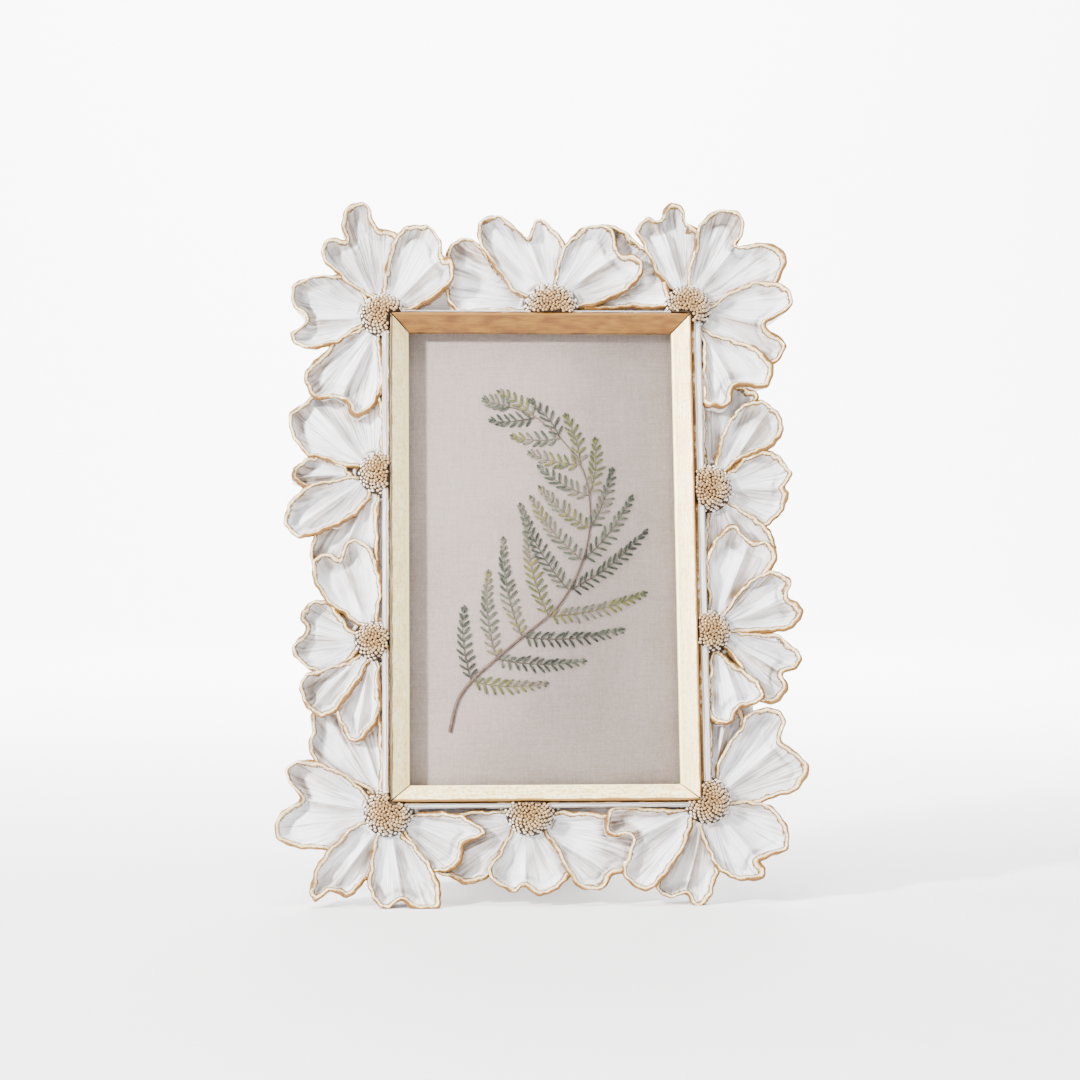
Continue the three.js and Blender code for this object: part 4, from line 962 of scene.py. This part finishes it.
def stamen_cup(border, middle, radius):
    """The round socket that a beaded centre sits in, cut off where it would enter the slip's pocket."""
    cup = [(radius + 1.3, 1.0), (radius + 1.5, 1.3), (radius + 1.5, 8.2), (radius + 1.1, 8.6),
           (radius + 0.5, 8.5), (radius + 0.25, 8.0), (radius + 0.25, 1.0)]
    points, faces = turned(cup, 40)
    points[:, :2] += middle
    # The socket is greyed with painted shade.
    border.add(outside_pocket(points), faces, hollow=0.6, **UNGILDED)


def flower_border(material):
    border = Builder("rim_distance", "wall_drop", "hollow", "ray_angle", "ray_reach", "petal_seed", "gilded",
                     "rim_bold")
    petals = []
    for centre, _, listed in FLOWERS.values():
        for rank, outline in listed:
            petals.append(Petal(len(petals) + 1, centre, rank, outline))
    for petal in petals:
        petal.build(border, petals)
    ground_ring(border)
    collar(border)
    for centre, (x, y, radius), _ in FLOWERS.values():
        stamen_cup(border, np.array(centre) + (x, y), radius)
    border.finish("cast_flower_border", PLANE, "frame", ["flower_border"], "white_enamel", material, 55)


def in_pocket(points, margin=GAP):
    """Whether each point lies in the pocket that takes the slip, widened by a margin round the slip."""
    return (np.abs(points[:, 0]) < RIDGE[0] + margin) & (np.abs(points[:, 1]) < RIDGE[1] + margin)


def outside_pocket(points):
    """Moves points out of the slip's pocket, to its nearer side."""
    edge_x = RIDGE[0] + GAP
    edge_y = RIDGE[1] + GAP
    inside = in_pocket(points)
    nearer_x = edge_x - np.abs(points[:, 0]) < edge_y - np.abs(points[:, 1])
    moved = points.copy()
    moved[inside & nearer_x, 0] = np.sign(points[inside & nearer_x, 0]) * edge_x
    moved[inside & ~nearer_x, 1] = np.sign(points[inside & ~nearer_x, 1]) * edge_y
    return moved


# The beaded centres
def dome_height(share):
    """Height of the dome under the beads, at a share of its radius."""
    shoulder = 0.72
    low = lerp(STAMEN["shoulder"], STAMEN["edge"], np.clip((share - shoulder) / (1 - shoulder), 0, 1))
    high = lerp(STAMEN["crown"], STAMEN["shoulder"], np.clip(share / shoulder, 0, 1) ** 1.5)
    return np.where(share > shoulder, low, high)


def bead_template():
    """Points and faces of a ball of radius 1."""
    bm = bmesh.new()
    bmesh.ops.create_icosphere(bm, subdivisions=2, radius=1.0)
    points = np.array([v.co for v in bm.verts])
    faces = [tuple(v.index for v in f.verts) for f in bm.faces]
    bm.free()
    return points, faces


def stamens(name, centre, disc, material, template):
    """A dome set with beads in the spiral order of a flower's centre, paler towards its edge; the dome and
    the lower half of each bead are darkened with painted shade.
    """
    x, y, radius = disc
    ball, ball_faces = template
    middle = np.array(centre, float) + (x, y)
    cluster = Builder("bead_tone", "bead_depth")
    shares = np.linspace(0.02, 0.97, 10)
    profile = [(radius - 0.4, STAMEN["base"] + 0.05)]
    profile += [(radius * s, float(dome_height(s)) - 1.0) for s in shares[::-1]]
    points, faces = turned(profile, 40)
    points[:, :2] += middle
    # The dome under the beads is painted dark: painted shade in the gaps between beads.
    cluster.add(outside_pocket(points), faces, bead_tone=0.1, bead_depth=1.0)
    count = int((radius / BEAD["pitch"]) ** 2)
    for i in range(count):
        share = math.sqrt((i + 0.4) / count)
        angle = i * math.pi * (3 - math.sqrt(5)) + draw.uniform(-0.05, 0.05)
        size = BEAD["radius"] * draw.uniform(0.88, 1.08)
        out = share * (radius - size * 0.9)
        place = middle + out * np.array([math.cos(angle), math.sin(angle)])
        if in_pocket(place[None, :], GAP + 0.3)[0]:
            continue
        level = float(dome_height(share)) - size + draw.uniform(-0.12, 0.0)
        tone = np.clip(share ** 2.2 + draw.uniform(-0.15, 0.15), 0, 1)
        # Painted shade on the lower half of each bead.
        depth = smoothstep(-ball[:, 2], -0.45, 0.4)
        cluster.add(ball * size + (place[0], place[1], level), ball_faces, bead_tone=tone, bead_depth=depth)
    cluster.finish("beads_" + name, PLANE, "frame", ["stamens_" + name], "beads", material)


# The gilt slip
def slip_profile(width):
    """The section of the slip as (inset, height): a rounded ridge outside, a slope down to the sight edge."""
    ridge, lip, bottom = SLIP["ridge"], SLIP["sight"], SLIP["bottom"]
    slope = (ridge - lip) / (width - 0.7)
    profile = [(0.0, bottom), (0.0, ridge - 0.35), (0.12, ridge - 0.08), (0.35, ridge), (0.62, ridge - 0.02),
               (0.85, ridge - 0.28)]
    profile += [(inset, ridge - 0.12 - slope * (inset - 0.7)) for inset in (1.1, 2.0, 3.0, 4.0, width - 0.6)]
    profile += [(width - 0.25, lip - 0.02), (width - 0.05, lip - 0.12), (width, lip - 0.4), (width, bottom)]
    return profile


def slip_rail(index, side, material):
    """One mitred length of the slip, with a face that sways slightly, as hand-finished timber does."""
    upright = side in ("left", "right")
    outer, outer_length = RIDGE if upright else RIDGE[::-1]
    sight, sight_length = SIGHT if upright else SIGHT[::-1]
    width = outer - sight
    profile = slip_profile(width)
    steps = 40
    turn = math.radians({"right": 0, "top": 90, "left": 180, "bottom": 270}[side])
    points, across, along = [], [], []
    for i in range(steps + 1):
        share = 2 * i / steps - 1
        for inset, height in profile:
            half = lerp(outer_length - GAP, sight_length - GAP, inset / width)
            sway = 0.05 * wave(share * 9, index) if 0.3 < inset < width - 0.3 else 0.0
            x = outer - inset
            y = share * half
            points.append((x * math.cos(turn) - y * math.sin(turn), x * math.sin(turn) + y * math.cos(turn),
                           height + sway))
            across.append(inset)
            along.append(y)
    columns = len(profile)
    faces = grid_faces(steps + 1, columns, flip=True)
    faces.append(tuple(range(columns)))
    faces.append(tuple(range(steps * columns, (steps + 1) * columns))[::-1])
    rail = Builder("across", "along", "rail")
    rail.add(points, faces, across=across, along=along, rail=index)
    rail.finish("gilt_" + side, PLANE, "frame", ["slip_" + side], "gilt", material, 50)


# Glass, card and fern
def pane(name, node, size, level, material, finish, bevel):
    """A flat sheet between two levels, with eased edges."""
    sheet = bevelled(prism(box_outline(-size[0], -size[1], size[0], size[1]), *level), bevel, 2)
    solid_piece(name, node, [sheet], PLANE, "frame", material, finish, 40)


def blade(sprig, root, heading, length, width, hue, lift, rng):
    """One pinnule: a slim pointed blade with a raised rib, closed below."""
    stations = ((0.0, 0.2), (0.22, 0.75), (0.5, 1.0), (0.78, 0.92), (0.94, 0.6), (1.0, 0.2))
    sweep = rng.uniform(0.15, 0.4)
    points, tips = [], []
    position = np.array(root, float)
    last = 0.0
    for along, spread in stations:
        direction = heading - sweep * along
        forward = np.array([math.cos(direction), math.sin(direction)])
        position = position + forward * (along - last) * length
        last = along
        aside = np.array([-forward[1], forward[0]]) * width * spread / 2
        level = FERN_LEVEL + lift * math.sin(math.pi * along)
        points += [(*(position + aside), level), (*position, level + 0.09 + 0.06 * spread),
                   (*(position - aside), level), (*position, level - 0.05)]
        tips += [along] * 4
    faces = grid_faces(len(stations), 4)
    faces.append((3, 2, 1, 0))
    end = (len(stations) - 1) * 4
    faces.append((end, end + 1, end + 2, end + 3))
    sprig.add(points, [face[::-1] for face in faces], leaf_hue=hue, leaf_tip=tips, woody=0.0)


def stem(sprig, centres, half_widths, woody, hue=0.4):
    """A flattened tapering stem along a flat path."""
    sides = 8
    path = np.array(centres, float)
    heading = np.gradient(path, axis=0)
    heading /= np.linalg.norm(heading, axis=1)[:, None]
    aside = np.stack([-heading[:, 1], heading[:, 0]], axis=1)
    angles = np.linspace(0, 2 * math.pi, sides, endpoint=False)
    points = []
    for place, side, half in zip(path, aside, half_widths):
        for angle in angles:
            flat = place + side * half * math.cos(angle)
            points.append((*flat, FERN_LEVEL + min(half, 0.3) * math.sin(angle)))
    faces = grid_faces(len(path), sides, flip=True)
    end = (len(path) - 1) * sides
    faces.append(tuple(range(sides)))
    faces.append(tuple(range(end, end + sides))[::-1])
    sprig.add(points, faces, leaf_hue=hue, leaf_tip=0.3, woody=woody)


def leaflet(sprig, root, heading, length, bend, hue, rng):
    """A leaflet: a thin rib with a herringbone of pinnules that shorten to its tip."""
    steps = 12
    place = np.array(root, float)
    rib = [place.copy()]
    for i in range(steps):
        angle = math.radians(heading + bend * i / steps)
        place = place + np.array([math.cos(angle), math.sin(angle)]) * length / steps
        rib.append(place.copy())
    rib = np.array(rib)
    stem(sprig, rib, np.linspace(0.2, 0.08, len(rib)), 0.35, hue)
    pairs = max(5, int(length / PINNULE["pitch"]))
    drift = rng.uniform(0.12, 0.32)
    sway = rng.uniform(0, 2 * math.pi)
    for pair in range(pairs):
        share = (pair + 0.6) / pairs
        at = share * steps
        low = min(int(at), steps - 1)
        point = lerp(rib[low], rib[low + 1], at - low)
        forward = math.radians(heading + bend * share)
        reach = PINNULE["reach"] * math.sin(math.pi * (0.3 + 0.55 * share)) + 0.5
        for side in (-1, 1):
            turn = forward + side * math.radians(lerp(50, 20, share ** 2) + rng.uniform(-6, 6))
            tone = np.clip(hue + drift * math.sin(5.5 * share + sway) + rng.uniform(-0.1, 0.1), 0, 1)
            length_here = reach * rng.uniform(0.85, 1.08)
            blade(sprig, point, turn, length_here, PINNULE["width"], tone, rng.uniform(0.02, 0.18), rng)
    blade(sprig, rib[-1], math.radians(heading + bend), 1.8, 0.8, 0.1, 0.1, rng)


def fern_sprig(material):
    """The frond: a tapering stalk with pairs of leaflets that shorten and turn forward to its tip."""
    rng = random.Random(31)
    sprig = Builder("leaf_hue", "leaf_tip", "woody")
    path = spline(STALK, 81, False)
    walk = np.linspace(0, 1, len(path))
    forward = np.gradient(path, axis=0)
    stem(sprig, path, 0.16 + 0.44 * (1 - walk) ** 1.8, 1.0)

    def grow(share, turn, length, bend, hues):
        root = [np.interp(share, walk, path[:, k]) for k in range(2)]
        ahead = [np.interp(share, walk, forward[:, k]) for k in range(2)]
        heading = math.degrees(math.atan2(ahead[1], ahead[0])) + turn
        leaflet(sprig, root, heading, length, bend, rng.choice(hues), rng)

    for pair in range(FROND["pairs"]):
        along = pair / (FROND["pairs"] - 1)
        share = lerp(FROND["first"], FROND["last"], along)
        left, right, length = (read_evenly(FROND[key], along) for key in ("left", "right", "lengths"))
        curl = FROND["curl"]
        grow(share, left + curl / 2, length, -curl, (0.05, 0.25, 0.45, 0.6, 0.8))
        grow(share, -right - curl / 2, length, curl, (0.05, 0.25, 0.5, 0.85, 1.0))
    grow(0.97, 0, FROND["end_leaflet"], 0, (0.4,))
    sprig.finish("pressed_fern", PLANE, "frame", ["fern_sprig"], "dried_fern", material, 60)


# The back
def solid_piece(name, node, parts, matrix, body, material, finish, sharp=35):
    """One piece from several parts, each as (points, faces)."""
    made = Builder()
    for points, faces in parts:
        made.add(points, faces)
    return made.finish(name, matrix, body, [node], finish, material, sharp)


def moved(part, offset):
    points, faces = part
    return np.asarray(points, float) + offset, faces


def tube(outer, inner, low, high, sides=32):
    """A hollow cylinder along x."""
    rounding = 0.15
    profile = [(inner, low), (outer - rounding, low), (outer, low + rounding), (outer, high - rounding),
               (outer - rounding, high), (inner, high)]
    angles = np.linspace(0, 2 * math.pi, sides, endpoint=False)
    points = np.concatenate([np.stack([np.full(sides, x), r * np.cos(angles), r * np.sin(angles)], axis=1)
                             for r, x in profile])
    return points, ring_faces(len(profile), sides)


def slotted_head(size, thick, back):
    """A pan head with a slot, facing -z, in two halves beside the slot."""
    slot = 0.35
    steps = 14
    parts = []
    for side in (-1, 1):
        limit = math.asin(slot / size)
        arc = [limit + (math.pi - 2 * limit) * i / steps for i in range(steps + 1)]
        outline = [(size * math.cos(a), side * size * math.sin(a)) for a in arc]
        points, faces = bevelled(prism(outline if side > 0 else outline[::-1], back, back + thick), 0.25)
        parts.append((points, faces))
    turn = np.linspace(0, 2 * math.pi, 28, endpoint=False)
    disc = [(size * 0.96 * math.cos(a), size * 0.96 * math.sin(a)) for a in turn]
    parts.append(bevelled(prism(disc, back + thick * 0.5, back + thick), 0.08, 1))
    return parts


def domed_rivet(back):
    """A rivet facing -z: a domed head on a shank, its head's top at the height back."""
    size, thick, shank = RIVET["head"], RIVET["head_thick"], RIVET["shank"]
    dome = [(size * math.sin(t), back + thick * (1 - math.cos(t))) for t in np.linspace(0.15, math.pi / 2, 7)]
    neck = [(size, back + thick), (shank, back + thick + 0.02), (shank, RIVET["shank_top"])]
    return turned(dome + neck, 28)


def brass_piece(name, node, parts, matrix, body, brass):
    solid_piece(name, node, parts, matrix, body, brass, "brassed_steel")


def turn_button(place, matrix, brass):
    """A flat latch with round ends that swivels on its screw."""
    half, reach = BUTTON["half"], BUTTON["reach"]
    outline = []
    for middle, start in ((reach - half, -math.pi / 2), (0, math.pi / 2)):
        turn = np.linspace(start, start + math.pi, 15)
        outline += [(middle + half * math.cos(a), half * math.sin(a)) for a in turn]
    plate = bevelled(prism(outline, -GAP - BUTTON["thick"], -GAP), 0.22)
    brass_piece("latch_" + place, "turn_button_" + place, [plate], matrix, "button_" + place, brass)


def button_screw(place, matrix, brass):
    back = -2 * GAP - BUTTON["thick"] - SCREW["head_thick"]
    head = slotted_head(SCREW["head"], SCREW["head_thick"], back)
    shank = turned([(1.2, back + 1.0), (1.2, 3.6), (0.7, 4.0)], 20)
    brass_piece("slotted_screw_" + place, "button_screw_" + place, head + [shank], matrix, "frame", brass)


def back_parts(velvet, brass):
    """The board and the four turn buttons that hold it."""
    board = bevelled(prism(box_outline(-PANE[0], -PANE[1], PANE[0], PANE[1]), 0.0, BOARD_TOP), 0.5)
    solid_piece("velveteen_board", "back_board", [board], PLANE, "frame", velvet, "velvet", 50)
    for place, side_x, side_y in CORNERS:
        spot = Matrix.Translation((side_x * BUTTON["x"], side_y * BUTTON["y"], 0))
        matrix = PLANE @ spot @ Matrix.Rotation(0 if side_x < 0 else math.pi, 4, "Z")
        turn_button(place, matrix, brass)
        slot_turn = Matrix.Rotation(math.radians(25 + 40 * side_x - 30 * side_y), 4, "Z")
        button_screw(place, matrix @ slot_turn, brass)


def fixed_leaf(brass):
    """The hinge's plate on the board, with its two outer knuckles, the pin and two rivets."""
    thick, y, z = HINGE["thick"], HINGE["y"], HINGE["z"]
    half, cut, bottom, top = 13, 2, y + 2.1, y + HINGE["tall"]
    outline = [(-half, bottom), (half, bottom), (half, top - cut), (half - cut, top), (cut - half, top),
               (-half, top - cut)]
    parts = [bevelled(prism(outline, -GAP - thick, -GAP), 0.2, 2)]
    for low in (-12.0, 5.0):
        knuckle = tube(HINGE["knuckle"], HINGE["bore"] + GAP, low, low + 7)
        ear = bevelled(prism(box_outline(low, y + 1.2, low + 7, y + 3.0), z + 1.2, -GAP), 0.15, 2)
        parts += [moved(knuckle, (0, y, z)), ear]
    brass_piece("hinge_plate", "hinge_leaf", parts, PLANE, "frame", brass)
    pin = moved(tube(HINGE["bore"], 0.02, -half, half, 24), (0, y, z))
    brass_piece("hinge_rod", "hinge_pin", [pin], PLANE, "frame", brass)
    for place, side in (("left", -1), ("right", 1)):
        rivet = moved(domed_rivet(-2 * GAP - thick - RIVET["head_thick"]), (side * 8, y + 9, 0))
        brass_piece("domed_rivet_" + place, "hinge_rivet_" + place, [rivet], PLANE, "frame", brass)


def moving_leaf(brass):
    """The hinge's plate on the strut, with the middle knuckle; the pin's axis is its x axis."""
    half, length, cut = STRUT_LEAF["half"], STRUT_LEAF["length"], STRUT_LEAF["cut"]
    outline = [(-half, 3.1), (-half, cut - length), (cut - half, -length), (half - cut, -length),
               (half, cut - length), (half, 3.1)]
    tongue = bevelled(prism(outline, -STRUT_LEAF["half_thick"], STRUT_LEAF["half_thick"]), 0.15, 2)
    knuckle = tube(HINGE["knuckle"], HINGE["bore"] + GAP, -half, half)
    brass_piece("strut_plate", "strut_leaf", [tongue, knuckle], HUNG, "strut", brass)


def hinge_parts(velvet, brass):
    """The hinge, and the strut that hangs from it, cut off level with the ground."""
    fixed_leaf(brass)
    moving_leaf(brass)
    inner = -STRUT_LEAF["half_thick"] - GAP
    outer = inner - STRUT["thick"]
    lean = math.radians(LEAN)
    level = -PLANE_ORIGIN.z - (HINGE["y"] * math.cos(lean) + HINGE["z"] * math.sin(lean))
    tilt = math.radians(90 - LEAN + STRUT["open"])
    foot = [(level - z_place * math.cos(tilt)) / math.sin(tilt) for z_place in (outer, inner)]
    board = strut_board(outer, inner, foot)
    solid_piece("velveteen_strut", "easel_strut", [board], HUNG, "strut", velvet, "velvet", 50)
    for place, y_place in (("upper", -7.5), ("lower", -12.0)):
        turned_over = HUNG @ Matrix.Translation((0, y_place, 0)) @ Matrix.Rotation(math.pi, 4, "X")
        rivet = domed_rivet(inner - RIVET["head_thick"])
        brass_piece("strut_stud_" + place, "strut_rivet_" + place, [rivet], turned_over, "strut", brass)


def strut_board(outer, inner, foot):
    """The tapering strut: its foot is cut at a slant, so its two faces end at different places."""
    tapering = STRUT["length"] - STRUT["top"]

    def half(y):
        return lerp(STRUT["top_half"], STRUT["foot_half"], (-STRUT["top"] - y) / tapering)

    def build(bm):
        rings = []
        for z_place, low in ((outer, foot[0]), (inner, foot[1])):
            top = -STRUT["top"]
            rings.append([bm.verts.new(p) for p in ((-half(low), low, z_place), (half(low), low, z_place),
                                                     (half(top), top, z_place), (-half(top), top, z_place))])
        bm.faces.new(rings[0][::-1])
        bm.faces.new(rings[1])
        for i in range(4):
            j = (i + 1) % 4
            bm.faces.new((rings[0][i], rings[0][j], rings[1][j], rings[1][i]))

    return bevelled(build, 0.6)


# Stage, lights and camera
def floor():
    """A pale floor that curves up behind the object."""
    half, depth, rise = 3.0, 1.6, 2.4
    profile = [(-2.0, 0.0), (depth, 0.0)]
    profile += [(depth + math.sin(a), 1 - math.cos(a)) for a in np.linspace(0.1, math.pi / 2, 12)]
    profile.append((depth + 1.0, rise + 1.0))
    points = [(x, y, z) for y, z in profile for x in (-half, half)]
    faces = [(2 * i, 2 * i + 1, 2 * i + 3, 2 * i + 2) for i in range(len(profile) - 1)]
    mesh = bpy.data.meshes.new("floor")
    mesh.from_pydata(points, [], faces)
    mesh.shade_smooth()
    n = Nodes("plain pale floor", Roughness=0.7)
    grain = n.noise(n.place(), 60, 2.0)
    n.finish(Base_Color=n.blend(grain, (0.9, 0.9, 0.9, 1), (0.93, 0.93, 0.93, 1)))
    mesh.materials.append(n.material)
    piece = bpy.data.objects.new("floor", mesh)
    bpy.context.scene.collection.objects.link(piece)


def aim(item, target):
    item.rotation_mode = "QUATERNION"
    item.rotation_quaternion = (Vector(target) - item.location).to_track_quat("-Z", "Y")


def towards(azimuth, elevation):
    """The direction that azimuth and elevation name, in degrees; azimuth 0 is in front of the picture."""
    a = math.radians(azimuth)
    e = math.radians(elevation)
    return Vector((math.sin(a) * math.cos(e), -math.cos(a) * math.cos(e), math.sin(e)))


def light(name, azimuth, elevation, distance, size, power, colour):
    """A round soft light that faces the middle of the picture."""
    data = bpy.data.lights.new(name, "AREA")
    data.shape = "DISK"
    data.size = size
    data.energy = power
    data.color = colour
    lamp = bpy.data.objects.new(name, data)
    bpy.context.scene.collection.objects.link(lamp)
    middle = PLANE_ORIGIN * 0.001
    lamp.location = middle + distance * towards(azimuth, elevation)
    aim(lamp, middle)
    return lamp


def studio():
    light("key", -51, 23, 1.3, 0.13, 60.0, (1.0, 0.99, 0.975))
    light("fill", 60, 15, 1.5, 0.8, 6.0, (0.97, 0.98, 1.0))
    light("top", 0, 75, 1.4, 0.9, 40.0, (1.0, 1.0, 1.0))
    light("behind", 165, 35, 1.5, 0.9, 10.0, (1.0, 1.0, 1.0))
    wash = light("backdrop", 180, 65, 1.8, 1.5, 420.0, (1.0, 1.0, 1.0))
    aim(wash, (0, 2.6, 0.9))
    world = bpy.data.worlds.new("studio")
    world.use_nodes = True
    world.node_tree.nodes["Background"].inputs["Color"].default_value = (1, 1, 1, 1)
    world.node_tree.nodes["Background"].inputs["Strength"].default_value = 0.6
    bpy.context.scene.world = world


def camera():
    """The photograph's view: level, a little from the left, through a long lens."""
    data = bpy.data.cameras.new("camera")
    data.sensor_width = 36
    data.lens = VIEW["lens"]
    data.clip_start = 0.05
    data.clip_end = 20
    eye = bpy.data.objects.new("camera", data)
    bpy.context.scene.collection.objects.link(eye)
    back = towards(VIEW["azimuth"], VIEW["elevation"])
    ridge_middle = PLANE @ Vector((0, 0, SLIP["ridge"]))
    eye.location = (ridge_middle + back * VIEW["distance"] + Vector(VIEW["shift"])) * 0.001
    eye.rotation_mode = "QUATERNION"
    eye.rotation_quaternion = (-back).to_track_quat("-Z", "Y")
    bpy.context.scene.camera = eye


flower_border(enamel_material())
gilt = gilt_material()
beading = bead_material()
velvet = velvet_material()
brass = brass_material()
template = bead_template()
for flower_name, (flower_centre, flower_disc, _) in FLOWERS.items():
    stamens(flower_name, flower_centre, flower_disc, beading, template)
for rail_index, rail_side in enumerate(RAILS):
    slip_rail(rail_index, rail_side, gilt)
pane("float_glass", "glass_pane", PANE, GLASS, glass_material(), "glass", 0.25)
pane("linen_mount", "linen_card", (PANE[0] - GAP, PANE[1] - GAP), CARD, linen_material(), "linen_card", 0.1)
fern_sprig(fern_material())
back_parts(velvet, brass)
hinge_parts(velvet, brass)
floor()
studio()
camera()
